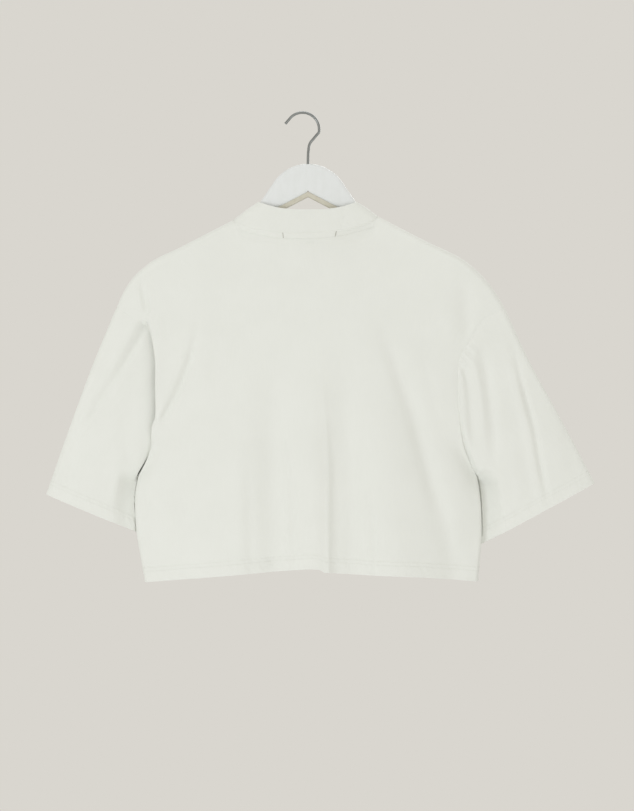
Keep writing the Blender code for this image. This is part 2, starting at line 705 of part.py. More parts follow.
def build_hanger():
    """The flat wooden hanger: its outline lofted through its rounded edges, and bored for the hook."""
    half = hanger_half_outline()
    outline = half + [(-reach, z) for reach, z in half[-2:0:-1]]
    flat = WOOD_THICKNESS / 2 - WOOD_ROUNDING
    quarter = np.radians((90, 60, 30, 0))
    sections = [
        (WOOD_ROUNDING * (1 - math.cos(a)), -flat - WOOD_ROUNDING * math.sin(a)) for a in quarter
    ]
    sections += [(depth, -y) for depth, y in sections[::-1]]
    mesh = bmesh.new()
    loops = [
        [mesh.verts.new((STEM_X + reach, y, z)) for reach, z in inset(outline, depth)]
        for depth, y in sections
    ]
    mesh.faces.new(loops[0])
    mesh.faces.new(loops[-1][::-1])
    for near, far in zip(loops, loops[1:]):
        for i in range(len(near)):
            k = (i + 1) % len(near)
            mesh.faces.new((near[i], near[k], far[k], far[i]))
    bmesh.ops.recalc_face_normals(mesh, faces=mesh.faces)
    hanger = mesh_object("hanger", mesh, PAINTED_WOOD)

    bpy.ops.mesh.primitive_cylinder_add(
        vertices=20, radius=BORE_RADIUS, depth=BORE_DEPTH + 0.01,
        location=(STEM_X, 0, HUMP_TOP_Z - BORE_DEPTH / 2 + 0.005),
    )
    bore = bpy.context.object
    bore.name = "hook_bore"
    bore.hide_render = True
    bore.display_type = "WIRE"
    drill = hanger.modifiers.new("drill", "BOOLEAN")
    drill.operation = "DIFFERENCE"
    drill.solver = "EXACT"
    drill.object = bore


def build_hook():
    """A bent wire: stem, neck, crown and a slightly straightened tip."""
    centre_z = WIRE_RADIUS - HOOK_RADIUS
    crown = [
        (HOOK_RADIUS * math.cos(a), centre_z + HOOK_RADIUS * math.sin(a))
        for a in np.radians(np.arange(-12, 146, 13))
    ]
    stem_low = HUMP_TOP_Z - BORE_DEPTH + 0.001
    path = [(STEM_X, stem_low), (STEM_X, HUMP_TOP_Z + 0.004)]
    path += [*HOOK_NECK[::-1], *crown, HOOK_TIP]
    curve = bpy.data.curves.new("hook", "CURVE")
    curve.dimensions = "3D"
    spline = curve.splines.new("BEZIER")
    spline.bezier_points.add(len(path) - 1)
    for point, (x, z) in zip(spline.bezier_points, path):
        point.co = (x, 0, z)
        point.handle_left_type = point.handle_right_type = "AUTO"
    spline.resolution_u = 3
    curve.resolution_u = 3
    curve.bevel_depth = WIRE_RADIUS
    curve.bevel_resolution = 2
    curve.use_fill_caps = True
    obj = bpy.data.objects.new("hook", curve)
    bpy.context.scene.collection.objects.link(obj)
    curve.materials.append(material("hook", STEEL))


def main():
    clear_scene()
    build_cloth()
    build_hanger()
    build_hook()


main()
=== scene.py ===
"""Looks of a cropped T-shirt that hangs on a flat wooden hanger with a wire hook.

Metres, +Z up, +X the wearer's right, -Y the back panel's side. The cloth is a set of thin shells, one per
cut piece, each worked out on a fine grid from the garment's own sizes and then given its seams, hems,
folds and creases. The hanger and the hook are smooth copies of their solids in painted wood and steel.
"""

import logging
import math
from dataclasses import dataclass, field
from enum import Enum

import bmesh
import bpy
import numpy as np
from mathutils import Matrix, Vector


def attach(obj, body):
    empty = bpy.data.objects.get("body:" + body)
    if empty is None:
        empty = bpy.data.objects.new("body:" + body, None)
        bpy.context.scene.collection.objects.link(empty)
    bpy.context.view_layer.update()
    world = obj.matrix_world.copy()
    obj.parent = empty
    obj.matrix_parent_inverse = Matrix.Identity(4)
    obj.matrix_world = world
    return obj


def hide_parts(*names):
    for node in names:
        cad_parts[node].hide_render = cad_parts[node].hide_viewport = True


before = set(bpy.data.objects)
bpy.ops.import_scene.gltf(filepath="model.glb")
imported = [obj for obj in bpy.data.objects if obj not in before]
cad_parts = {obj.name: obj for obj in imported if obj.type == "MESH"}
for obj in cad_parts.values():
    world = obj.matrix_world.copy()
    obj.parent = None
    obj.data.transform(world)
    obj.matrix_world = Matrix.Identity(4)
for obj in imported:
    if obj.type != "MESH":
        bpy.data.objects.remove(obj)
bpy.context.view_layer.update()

log = logging.getLogger("crop_top")
BODY = "root"

CLOTH = 0.0010
HEM_HEIGHT = 0.0205
HEM_ROWS = (0.0018, 0.0066)  # stitch rows, measured down from the hem's upper edge
HEM_EXTRA = 0.75  # how much thicker the turned-up hem is, as a share of the cloth
SEAM_SINK = 0.0003
SEAM_HALF_WIDTH = 0.0015
NOTCH_X = 0.0072
NOTCH_SLANT = math.radians(27.5)
CRISP_ANGLE = math.radians(50)


# ---------------------------------------------------------------- small mathematics

def unit(vectors: np.ndarray) -> np.ndarray:
    """Vectors scaled to length one."""
    return vectors / np.maximum(np.linalg.norm(vectors, axis=-1, keepdims=True), 1e-12)


def smooth(value: np.ndarray) -> np.ndarray:
    """Eased step: 0 below 0, 1 above 1."""
    value = np.clip(value, 0.0, 1.0)
    return value * value * (3.0 - 2.0 * value)


def rounded(value: np.ndarray) -> np.ndarray:
    """Quarter circle: 0 at 0, 1 at 1 and beyond, upright at 0."""
    return np.sqrt(1.0 - (1.0 - np.clip(value, 0.0, 1.0)) ** 2)


def bell(distance: np.ndarray, half_width: float) -> np.ndarray:
    """Soft hump: 1 at distance 0, fading over half_width."""
    return np.exp(-((distance / half_width) ** 2))


def hermite(knots: np.ndarray, values: np.ndarray, at: np.ndarray) -> np.ndarray:
    """A smooth curve through values at knots, with slopes from each knot's neighbours.

    Args:
        knots: Rising or falling places of the values.
        values: One value per knot.
        at: Places to read the curve at.

    Returns:
        The curve's value at each place.
    """
    if knots[0] > knots[-1]:
        knots, values = knots[::-1], values[::-1]
    slopes = np.gradient(values, knots)
    at = np.clip(at, knots[0], knots[-1])
    low = np.clip(np.searchsorted(knots, at, side="right") - 1, 0, len(knots) - 2)
    span = knots[low + 1] - knots[low]
    t = (at - knots[low]) / span
    rise = t * t * (3 - 2 * t)
    leave = t * (1 - t) ** 2 * span
    arrive = t * t * (t - 1) * span
    return (1 - rise) * values[low] + rise * values[low + 1] + leave * slopes[low] + arrive * slopes[low + 1]


def run_along(points: np.ndarray, axis: int) -> np.ndarray:
    """Distance walked along one axis of a grid of points, from its first line."""
    steps = np.linalg.norm(np.diff(points, axis=axis), axis=-1)
    start = np.zeros_like(np.take(steps, [0], axis=axis))
    return np.concatenate([start, np.cumsum(steps, axis=axis)], axis=axis)


def run_back(points: np.ndarray) -> np.ndarray:
    """Distance walked up a grid's columns, from its last row."""
    return run_along(points[::-1], 0)[::-1]


def read_along(line: np.ndarray, run: np.ndarray, places: np.ndarray) -> np.ndarray:
    """The points of a line, or the normals along it, at distances walked along it."""
    return np.stack([np.interp(places, run, line[:, k]) for k in range(3)], axis=-1)


def wave(x: np.ndarray, z: np.ndarray, seed: int) -> np.ndarray:
    """Slow uneven swell of the cloth, about one high, the same for the same seed."""
    draw = np.random.default_rng(seed)
    total = np.zeros_like(x)
    for _ in range(9):
        length = draw.uniform(0.05, 0.16)
        turn = draw.uniform(-0.75, 0.75)
        phase = draw.uniform(0, 2 * math.pi)
        total += np.sin((x * math.cos(turn) + 0.45 * z * math.sin(turn)) * 2 * math.pi / length + phase)
    return total / 4.0


# ---------------------------------------------------------------- the garment's sizes

class Side(Enum):
    """The wearer's left and right as seen from behind."""

    LEFT = "left"
    RIGHT = "right"


class Face(Enum):
    """The two panels of the body, with the way each faces along Y."""

    BACK = -1
    FRONT = 1


@dataclass(frozen=True)
class Station:
    """A point of a body panel's outline and how far back and front stand apart there."""

    x: float
    z: float
    y_back: float = 0.0
    y_front: float = 0.0


@dataclass(frozen=True)
class DepthRow:
    """How far each panel stands off the garment's middle plane at one height."""

    z: float
    back: float
    front: float


@dataclass(frozen=True)
class Fold:
    """A long soft fold that opens towards the hem."""

    x_top: float
    x_low: float
    z_top: float
    z_low: float
    half_width: float
    height: float


@dataclass(frozen=True)
class SleeveEdge:
    """A point of a sleeve's outer or inner fold line, by share of the sleeve's length."""

    share: float
    x: float
    y: float
    z: float


def millimetres(kind: type, *rows: tuple[float, ...]) -> list:
    """Rows of a table of one kind, given in millimetres."""
    return [kind(*(value / 1000 for value in row)) for row in rows]


SHOULDERS = {
    Side.LEFT: millimetres(
        Station,
        (-91, -139), (-160, -174.5), (-201, -195.5), (-223.5, -216), (-236.5, -237), (-244, -254),
    ),
    Side.RIGHT: millimetres(
        Station,
        (99, -134.5), (160, -166), (217, -195.5), (239, -216), (255, -237), (265, -254.5),
    ),
}
ARMHOLES = {
    Side.LEFT: millimetres(
        Station,
        (-244, -254, -5.5, 6), (-218, -272, -8.5, 10), (-200, -288, -10.5, 12.5), (-193, -312, -13, 15),
        (-191, -360, -14.5, 17), (-192.5, -412, -13, 17), (-201, -446, -7, 13), (-215.5, -474, 6, 6),
    ),
    Side.RIGHT: millimetres(
        Station,
        (265, -254.5, -5.5, 6), (235, -272.5, -8.5, 10), (219.5, -296, -10, 13), (205.5, -320, -12, 15.5),
        (202.5, -352, -13.5, 17), (205, -402, -13, 17.5), (211.5, -436, -9, 15), (229.5, -476, 6, 6),
    ),
}
SIDES = {
    Side.LEFT: millimetres(
        Station,
        (-215.5, -474, 6, 6), (-219, -492, 3.5, 3.5), (-218.5, -540), (-206.5, -613),
    ),
    Side.RIGHT: millimetres(
        Station,
        (229.5, -476, 6, 6), (232.5, -496, 3.5, 3.5), (235, -552), (230, -612),
    ),
}
DEPTHS = millimetres(
    DepthRow,
    (-130, 9.2, 9.2), (-200, 12.8, 14), (-300, 19, 22.5), (-450, 27.5, 33), (-615, 33, 39),
)
FOLDS = {
    Face.BACK: millimetres(
        Fold,
        (-78, -88, -310, -660, 22, 3.6), (-36, -36, -290, -660, 20, -5.6), (10, 22, -320, -660, 24, 6.2),
        (50, 74, -250, -660, 22, -6), (98, 132, -330, -660, 30, 5.2), (100, 200, -240, -590, 18, -4.4),
        (-140, -125, -300, -660, 30, 3),
    ),
    Face.FRONT: millimetres(
        Fold,
        (-110, -130, -300, -660, 28, 6), (-62, -70, -330, -660, 22, -6), (-8, -14, -280, -660, 24, 6.6),
        (44, 52, -310, -660, 20, -6), (100, 122, -290, -660, 30, 5.4), (150, 178, -340, -660, 18, -4.2),
    ),
}
# How far the panels stand off the middle plane along their sides, without the pinch under the arm.
EDGE_SHARES = np.array([0.0, 0.30, 0.50, 0.64, 0.80, 1.0])
EDGE_CALM = {
    Face.BACK: np.array([0.0060, 0.0125, 0.0110, 0.0060, 0.0020, 0.0]),
    Face.FRONT: np.array([0.0065, 0.0150, 0.0140, 0.0090, 0.0030, 0.0]),
}
OUTER_FOLD = {
    Side.LEFT: [
        SleeveEdge(0.0, -0.2440, 0.000, -0.2540), SleeveEdge(0.3, -0.2745, 0.001, -0.3270),
        SleeveEdge(0.65, -0.3060, 0.002, -0.4140), SleeveEdge(1.0, -0.3360, 0.002, -0.4980),
    ],
    Side.RIGHT: [
        SleeveEdge(0.0, 0.2650, 0.000, -0.2545), SleeveEdge(0.3, 0.2985, 0.001, -0.3260),
        SleeveEdge(0.65, 0.3420, 0.002, -0.4050), SleeveEdge(1.0, 0.3830, 0.002, -0.4835),
    ],
}
INNER_FOLD = {
    Side.LEFT: [
        SleeveEdge(0.0, -0.2155, 0.0060, -0.4740), SleeveEdge(0.10, -0.2150, 0.0130, -0.4805),
        SleeveEdge(0.32, -0.2095, 0.0215, -0.5000), SleeveEdge(1.0, -0.1840, 0.0330, -0.5620),
    ],
    Side.RIGHT: [
        SleeveEdge(0.0, 0.2295, 0.0060, -0.4760), SleeveEdge(0.10, 0.2285, 0.0125, -0.4835),
        SleeveEdge(0.24, 0.2262, 0.0180, -0.4945), SleeveEdge(1.0, 0.2150, 0.0290, -0.5740),
    ],
}


# ---------------------------------------------------------------- creases

class CreaseKind(Enum):
    """How the cloth's surface changes across a crease."""

    RIDGE = "ridge"
    TROUGH = "trough"
    TUCK = "tuck"


@dataclass(frozen=True)
class Crease:
    """A crease along a short path of x and z, fading at both ends.

    Attributes:
        path: Points x, z that it runs through.
        half_width: How wide it is to either side.
        height: How far it stands out or sinks in at its deepest.
        kind: A ridge, a trough, or a tuck with a sharp side and a long side.
        lead: Share of its length over which it grows from nothing.
        tail: Share of its length over which it fades.
    """

    path: tuple[tuple[float, float], ...]
    half_width: float
    height: float
    kind: CreaseKind
    lead: float = 0.35
    tail: float = 0.35

    def relief(self, x: np.ndarray, z: np.ndarray) -> np.ndarray:
        """Outward displacement that the crease gives at each x, z."""
        knots = np.array(self.path)
        run = run_along(knots, 0)
        fine = np.linspace(0, run[-1], 28)
        line = np.stack([hermite(run, knots[:, k], fine) for k in (0, 1)], axis=-1)
        best = np.full(x.shape, np.inf)
        side = np.zeros(x.shape)
        share = np.zeros(x.shape)
        for i, (a, b) in enumerate(zip(line, line[1:])):
            step = b - a
            length = float(np.linalg.norm(step))
            along = ((x - a[0]) * step[0] + (z - a[1]) * step[1]) / length**2
            held = np.clip(along, 0, 1)
            away_x, away_z = x - a[0] - held * step[0], z - a[1] - held * step[1]
            distance = np.hypot(away_x, away_z)
            nearer = distance < best
            best = np.where(nearer, distance, best)
            side = np.where(nearer, (step[0] * away_z - step[1] * away_x) / length, side)
            share = np.where(nearer, (i + held) / (len(line) - 1), share)
        strength = smooth(share / self.lead) * smooth((1 - share) / self.tail)
        if self.kind is CreaseKind.RIDGE:
            profile = bell(best, self.half_width)
        elif self.kind is CreaseKind.TROUGH:
            profile = -bell(best, self.half_width)
        else:
            sharp = np.where(side > 0, self.half_width * 0.45, self.half_width * 2.2)
            profile = -bell(best, self.half_width * 0.6) + 0.7 * np.where(side > 0, 0, 1) * (
                bell(best - self.half_width * 1.3, self.half_width)
            )
            profile = profile * np.exp(-((best / (sharp * 2.5)) ** 4))
        return self.height * strength * profile


RIDGE, TROUGH, TUCK = CreaseKind


def crease(kind: CreaseKind, half_width: float, height: float, *path: tuple[float, float], **ends: float
           ) -> Crease:
    """A crease with its sizes and its path given in millimetres."""
    metres = tuple((x / 1000, z / 1000) for x, z in path)
    return Crease(metres, half_width / 1000, height / 1000, kind, **ends)


BACK_CREASES = (
    crease(TUCK, 7, 2.8, (-134, -262), (-146, -319), (-162, -362), (-183, -402), (-197, -432), lead=0.4,
           tail=0.25),
    crease(TROUGH, 4.2, 4.2, (-213, -206), (-207, -238), (-199.5, -270), (-194, -302), lead=0.45,
           tail=0.15),
    crease(RIDGE, 6, 1.2, (-204.5, -208), (-198.5, -240), (-190, -274), (-185, -306), lead=0.45, tail=0.25),
    crease(RIDGE, 10, 1, (-150, -300), (-172, -352), (-187, -385)),
    crease(RIDGE, 2.8, 1.6, (22, -296), (28, -375), (33, -440), (34, -519), (33, -620), lead=0.55,
           tail=0.01),
    crease(TROUGH, 8, 1.8, (34, -380), (41, -440), (44, -519), (45, -640), lead=0.5, tail=0.01),
    crease(TROUGH, 10, 2.6, (96, -257), (112, -303), (131, -355), (147, -401), (164, -466), (181, -519),
           (205, -558), lead=0.25, tail=0.3),
    crease(RIDGE, 11, 0.4, (86, -270), (101, -312), (119, -362), (135, -410), (150, -470), (164, -525),
           lead=0.3, tail=0.3),
    crease(TROUGH, 11, 1.2, (151, -263), (167, -362), (190, -440)),
    crease(RIDGE, 6.5, 1.3, (-185, -500), (-170, -537)),
    crease(TROUGH, 5, 1.1, (-160, -492), (-151, -546)),
    crease(TROUGH, 5.5, 1, (-201, -495), (-209, -535)),
    crease(TUCK, 6, 1.3, (88, -470), (96, -640), lead=0.4, tail=0.01),
    crease(TROUGH, 6.5, 1.4, (-70, -420), (-69, -519), (-64, -640), lead=0.4, tail=0.01),
    crease(TUCK, 6, 1.2, (-29, -381), (-16, -466), (-10, -640), lead=0.4, tail=0.01),
    crease(RIDGE, 8, 0.9, (62, -381), (69, -466), (72, -640), lead=0.4, tail=0.01),
    crease(TROUGH, 11, 2.2, (206, -200), (214, -250), (216, -300), lead=0.4, tail=0.15),
    crease(RIDGE, 14, 1.1, (175, -205), (190, -262), (196, -320)),
    crease(TROUGH, 12, 0.8, (-108, -240), (-112, -330), (-108, -430)),
    crease(TROUGH, 12, 0.7, (-90, -190), (-40, -200), (30, -198), (100, -184)),
    crease(RIDGE, 9, 1.1, (180, -470), (196, -530), (204, -600)),
    crease(TROUGH, 8, 0.9, (-174, -560), (-150, -586)),
    crease(TROUGH, 5, 1.4, (10, -165.5), (10, -171.5), lead=0.4, tail=0.4),
    crease(RIDGE, 2.2, 0.8, (84, -125.5), (108, -142), (164, -173), (204, -191), lead=0.1, tail=0.4),
    crease(RIDGE, 2.2, 0.6, (-75, -137.5), (-104, -152), (-160, -182.5), (-190, -199), lead=0.1, tail=0.4),
)
FRONT_CREASES = (
    crease(TUCK, 7, 2.2, (-150, -300), (-140, -360), (-150, -430), (-162, -500)),
    crease(TUCK, 6.5, 2, (-95, -290), (-85, -380), (-92, -470), (-94, -640), lead=0.4, tail=0.01),
    crease(RIDGE, 4.5, 1.8, (-30, -330), (-36, -420), (-34, -520), (-38, -640), lead=0.5, tail=0.01),
    crease(TROUGH, 9, 2.2, (20, -300), (18, -400), (26, -500), (24, -640), lead=0.4, tail=0.01),
    crease(TUCK, 5, 2, (78, -270), (90, -370), (84, -470), (90, -640), lead=0.35, tail=0.01),
    crease(TUCK, 7, 2, (140, -250), (146, -350), (160, -440), (186, -530)),
    crease(RIDGE, 8, 1.8, (186, -300), (180, -370), (186, -440)),
    crease(TROUGH, 9, 1.8, (-176, -290), (-172, -380), (-180, -440)),
    crease(TROUGH, 8, 0.8, (-60, -225), (-20, -232), (30, -232), (74, -224)),
    crease(TROUGH, 10, 1.2, (120, -180), (150, -220), (170, -270)),
    crease(TROUGH, 10, 1.2, (-110, -185), (-146, -225), (-160, -275)),
)
SLEEVE_CREASES = {
    (Side.RIGHT, Face.BACK): (
        crease(TUCK, 6.8, 2.8, (274, -300), (291, -368), (303, -414), (312, -466), (324, -522), lead=0.35,
               tail=0.25),
        crease(TROUGH, 5.5, 2.8, (209, -322), (217, -362), (222, -414), (227, -450), lead=0.12, tail=0.35),
        crease(TROUGH, 7, 3, (231, -290), (243, -355), (249, -414), (250, -478), lead=0.25, tail=0.35),
        crease(RIDGE, 5, 1.6, (219, -309), (230, -355), (236, -414), (238, -450), lead=0.15, tail=0.4),
        crease(RIDGE, 2.3, 1.1, (204, -321.5), (222, -339), lead=0.15, tail=0.6),
        crease(RIDGE, 2.3, 1.2, (208.5, -311), (227, -329), lead=0.15, tail=0.6),
        crease(RIDGE, 2.5, 1.1, (213.5, -301), (234, -317), lead=0.15, tail=0.6),
        crease(RIDGE, 2.4, 1, (202, -333), (215, -357), lead=0.15, tail=0.6),
        crease(TROUGH, 1.8, 0.8, (206.5, -316.5), (220, -329), lead=0.15, tail=0.6),
        crease(TROUGH, 1.8, 0.8, (211, -306), (226, -319), lead=0.15, tail=0.6),
        crease(TROUGH, 13, 2.2, (240, -456), (247, -506), (264, -548), lead=0.35, tail=0.45),
        crease(TROUGH, 8, 0.9, (268, -262), (279, -310), (288, -350)),
        crease(TROUGH, 10, 0.9, (340, -405), (350, -446), (356, -486)),
        crease(RIDGE, 12, 1.4, (272, -420), (282, -480), (290, -530)),
    ),
    (Side.LEFT, Face.BACK): (
        crease(RIDGE, 10, 1.3, (-278, -360), (-286, -410), (-296, -470)),
        crease(TROUGH, 11, 0.7, (-248, -296), (-262, -350), (-272, -420)),
        crease(TROUGH, 13, 1.6, (-219, -300), (-228, -400), (-238, -500)),
        crease(RIDGE, 8, 1.4, (-236, -420), (-242, -480), (-250, -530)),
        crease(TROUGH, 6, 0.8, (-300, -440), (-306, -480), (-314, -505)),
    ),
    (Side.RIGHT, Face.FRONT): (
        crease(TUCK, 7, 2.8, (268, -300), (286, -380), (300, -450), (310, -520)),
        crease(TROUGH, 8, 3, (222, -300), (236, -370), (246, -460)),
        crease(RIDGE, 5, 1.8, (210, -345), (222, -400), (234, -470)),
        crease(RIDGE, 9, 1.4, (330, -400), (342, -450), (350, -495)),
    ),
    (Side.LEFT, Face.FRONT): (
        crease(TUCK, 7, 3, (-246, -290), (-258, -370), (-268, -450), (-272, -520)),
        crease(TROUGH, 8, 2.8, (-212, -310), (-222, -380), (-228, -450)),
        crease(RIDGE, 7, 2, (-226, -430), (-234, -490), (-236, -545)),
        crease(RIDGE, 9, 1.4, (-284, -380), (-300, -440), (-312, -490)),
    ),
}


# ---------------------------------------------------------------- shader building

class Tree:
    """A short way to add nodes to a node tree and join them."""

    def __init__(self, tree: bpy.types.NodeTree) -> None:
        """Keeps the tree that nodes go into."""
        self.tree = tree

    def add(self, kind: str, *inputs: object, **settings: object) -> bpy.types.Node:
        """Adds a node.

        Args:
            kind: The node's type.
            inputs: For each input in order: a socket to join, a value to set, or None to leave it.
            settings: Properties of the node.

        Returns:
            The new node.
        """
        node = self.tree.nodes.new(kind)
        for name, value in settings.items():
            setattr(node, name, value)
        for socket, given in zip(node.inputs, inputs):
            self.give(socket, given)
        return node

    def give(self, socket: bpy.types.NodeSocket, given: object) -> None:
        """Joins a socket to an input, or sets the input's value or colour; None leaves it."""
        if isinstance(given, bpy.types.NodeSocket):
            self.tree.links.new(given, socket)
        elif given is not None:
            socket.default_value = (*given, 1.0) if socket.type == "RGBA" else given

    def feed(self, node: bpy.types.Node, inputs: dict[str, object]) -> bpy.types.Node:
        """Joins or sets a node's inputs by name and returns the node."""
        for name, given in inputs.items():
            self.give(node.inputs[name], given)
        return node

    def group(self, effect: bpy.types.NodeTree, **inputs: object) -> bpy.types.NodeSocket:
        """Adds a shared effect with its inputs and returns its output."""
        return self.feed(self.add("ShaderNodeGroup", node_tree=effect), inputs).outputs[0]

    def place(self) -> bpy.types.NodeSocket:
        """Adds the object's own coordinates, in metres."""
        return self.add("ShaderNodeTexCoord").outputs["Object"]

    def bump(self, height: bpy.types.NodeSocket, strength: float, distance: float) -> bpy.types.NodeSocket:
        """Adds a Bump node and returns its normal."""
        values = {"Strength": strength, "Distance": distance, "Height": height}
        return self.feed(self.add("ShaderNodeBump"), values).outputs[0]

    def math(self, operation: str, *inputs: object) -> bpy.types.NodeSocket:
        """Adds a Math node and returns its output."""
        return self.add("ShaderNodeMath", *inputs, operation=operation).outputs[0]

    def noise(self, vector: bpy.types.NodeSocket, scale: object, detail: float = 3.0) -> bpy.types.NodeSocket:
        """Adds a Noise node at a scale in repeats per metre and returns its value."""
        node = self.add("ShaderNodeTexNoise", vector)
        return self.feed(node, {"Scale": scale, "Detail": detail}).outputs[0]

    def ramp(self, value: object, low: float, high: float, to_low: float = 0.0, to_high: float = 1.0
             ) -> bpy.types.NodeSocket:
        """Adds an eased Map Range from low..high to to_low..to_high and returns its value."""
        ends = (low, high, to_low, to_high)
        return self.add("ShaderNodeMapRange", value, *ends, interpolation_type="SMOOTHSTEP").outputs[0]

    def blend(self, share: object, first: object, second: object) -> bpy.types.NodeSocket:
        """Adds a colour mix and returns its colour."""
        node = self.add("ShaderNodeMix", data_type="RGBA")
        for index, given in ((0, share), (6, first), (7, second)):
            self.give(node.inputs[index], given)
        return node.outputs[2]


class EffectGroups:
    """The shader effects that several finishes share, each built once as a node group."""

    def __init__(self) -> None:
        """Builds the three groups."""
        self.knit = self._knit()
        self.mottle = self._mottle()
        self.streaks = self._streaks()

    @staticmethod
    def _start(name: str, inputs: dict[str, object], outputs: dict[str, str]) -> tuple[Tree, dict, dict]:
        """Makes an empty group with its named sockets.

        Args:
            name: The group's name.
            inputs: Input names with a float value, or None for a vector.
            outputs: Output names with their socket types.

        Returns:
            The tree, its input sockets and its output sockets, by name.
        """
        group = bpy.data.node_groups.new(name, "ShaderNodeTree")
        for socket, value in inputs.items():
            kind = "NodeSocketVector" if value is None else "NodeSocketFloat"
            made = group.interface.new_socket(socket, in_out="INPUT", socket_type=kind)
            if value is not None:
                made.default_value = value
        for socket, kind in outputs.items():
            group.interface.new_socket(socket, in_out="OUTPUT", socket_type=kind)
        start = group.nodes.new("NodeGroupInput")
        end = group.nodes.new("NodeGroupOutput")
        return Tree(group), {s.name: s for s in start.outputs}, {s.name: s for s in end.inputs}

    def _knit(self) -> bpy.types.NodeTree:
        """Rows of V-shaped knit loops over the cloth's own lengths, as a height."""
        tree, into, out = self._start(
            "knit loops", {"Cloth": None, "Wale": 0.0011, "Course": 0.0009}, {"Height": "NodeSocketFloat"}
        )
        parts = tree.add("ShaderNodeSeparateXYZ", into["Cloth"])
        across = tree.math("DIVIDE", parts.outputs[0], into["Wale"])
        down = tree.math("DIVIDE", parts.outputs[1], into["Course"])
        slant = tree.math("PINGPONG", across, 0.5)
        legs = tree.math("ABSOLUTE", tree.math("SINE", tree.math("MULTIPLY", across, 2 * math.pi)))
        loops = tree.math("ADD", tree.math("MULTIPLY", down, 2 * math.pi), tree.math("MULTIPLY", slant, 5.0))
        rows = tree.math("MULTIPLY_ADD", tree.math("SINE", loops), 0.25, 0.75)
        tree.give(out["Height"], tree.math("MULTIPLY", legs, rows))
        return tree.tree

    def _mottle(self) -> bpy.types.NodeTree:
        """Uneven yarn: slow clouds and fine streaks along the wales, as a value from 0 to 1."""
        tree, into, out = self._start(
            "yarn mottle", {"Cloth": None, "Place": None, "Clouds": 22.0, "Streaks": 420.0},
            {"Value": "NodeSocketFloat"}
        )
        clouds = tree.noise(into["Place"], into["Clouds"], 4.0)
        drawn = tree.add("ShaderNodeVectorMath", into["Cloth"], (1.0, 0.12, 1.0), operation="MULTIPLY")
        yarn = tree.noise(drawn.outputs[0], into["Streaks"], 2.0)
        mixed = tree.math("MULTIPLY_ADD", clouds, 0.65, tree.math("MULTIPLY", yarn, 0.35))
        tree.give(out["Value"], tree.ramp(mixed, 0.32, 0.68))
        return tree.tree

    def _streaks(self) -> bpy.types.NodeTree:
        """Long fine lines along Z, as brush marks or drawing marks, from 0 to 1."""
        tree, into, out = self._start(
            "long streaks", {"Place": None, "Scale": 300.0, "Stretch": 0.06}, {"Value": "NodeSocketFloat"}
        )
        stretch = tree.add("ShaderNodeCombineXYZ", 1.0, 1.0, into["Stretch"])
        drawn = tree.add("ShaderNodeVectorMath", into["Place"], stretch.outputs[0], operation="MULTIPLY")
        tree.give(out["Value"], tree.noise(drawn.outputs[0], into["Scale"]))
        return tree.tree


def new_material(name: str) -> tuple[bpy.types.Material, Tree, bpy.types.Node]:
    """Makes a material and returns it with its tree and its Principled shader."""
    made = bpy.data.materials.new(name)
    made.use_nodes = True
    return made, Tree(made.node_tree), made.node_tree.nodes["Principled BSDF"]


@dataclass(frozen=True)
class KnitFinish:
    """Ivory cotton knit: soft, matt, a little uneven, with its loops showing close up, and painted shade in
    the hollows between them.
    """

    name: str
    light: tuple[float, float, float]
    dark: tuple[float, float, float]
    wale: float = 0.0011
    course: float = 0.0009
    loop_height: float = 0.00010
    roughness: tuple[float, float] = (0.84, 0.95)
    sheen: float = 0.25

    def material(self, groups: EffectGroups) -> bpy.types.Material:
        """Builds the finish from the shared groups."""
        made, tree, shader = new_material(self.name)
        cloth = tree.add("ShaderNodeUVMap", uv_map="cloth").outputs[0]
        mottle = tree.group(groups.mottle, Cloth=cloth, Place=tree.place())
        knit = tree.group(groups.knit, Cloth=cloth, Wale=self.wale, Course=self.course)
        # The colour follows the loops' height as well as the yarn's uneven tone: painted shade darkens the
        # hollows between the loops.
        between = tree.math("MULTIPLY_ADD", knit, 0.25, tree.math("MULTIPLY", mottle, 0.75))
        tree.feed(shader, {
            "Base Color": tree.blend(between, self.dark, self.light),
            "Roughness": tree.ramp(mottle, 0, 1, *self.roughness),
            "Normal": tree.bump(knit, 0.35, self.loop_height),
        })
        shader.inputs["Sheen Weight"].default_value = self.sheen
        shader.inputs["Sheen Roughness"].default_value = 0.5
        shader.inputs["Specular IOR Level"].default_value = 0.2
        return made


@dataclass(frozen=True)
class ThreadFinish:
    """Sewing thread with the twist of its plies."""

    name: str
    light: tuple[float, float, float]
    dark: tuple[float, float, float]

    def material(self) -> bpy.types.Material:
        """Builds the finish."""
        made, tree, shader = new_material(self.name)
        twist = tree.noise(tree.place(), 2400.0, 1.0)
        colour = tree.blend(twist, self.dark, self.light)
        tree.feed(shader, {"Base Color": colour, "Roughness": tree.ramp(twist, 0, 1, 0.55, 0.75)})
        shader.inputs["Sheen Weight"].default_value = 0.1
        return made


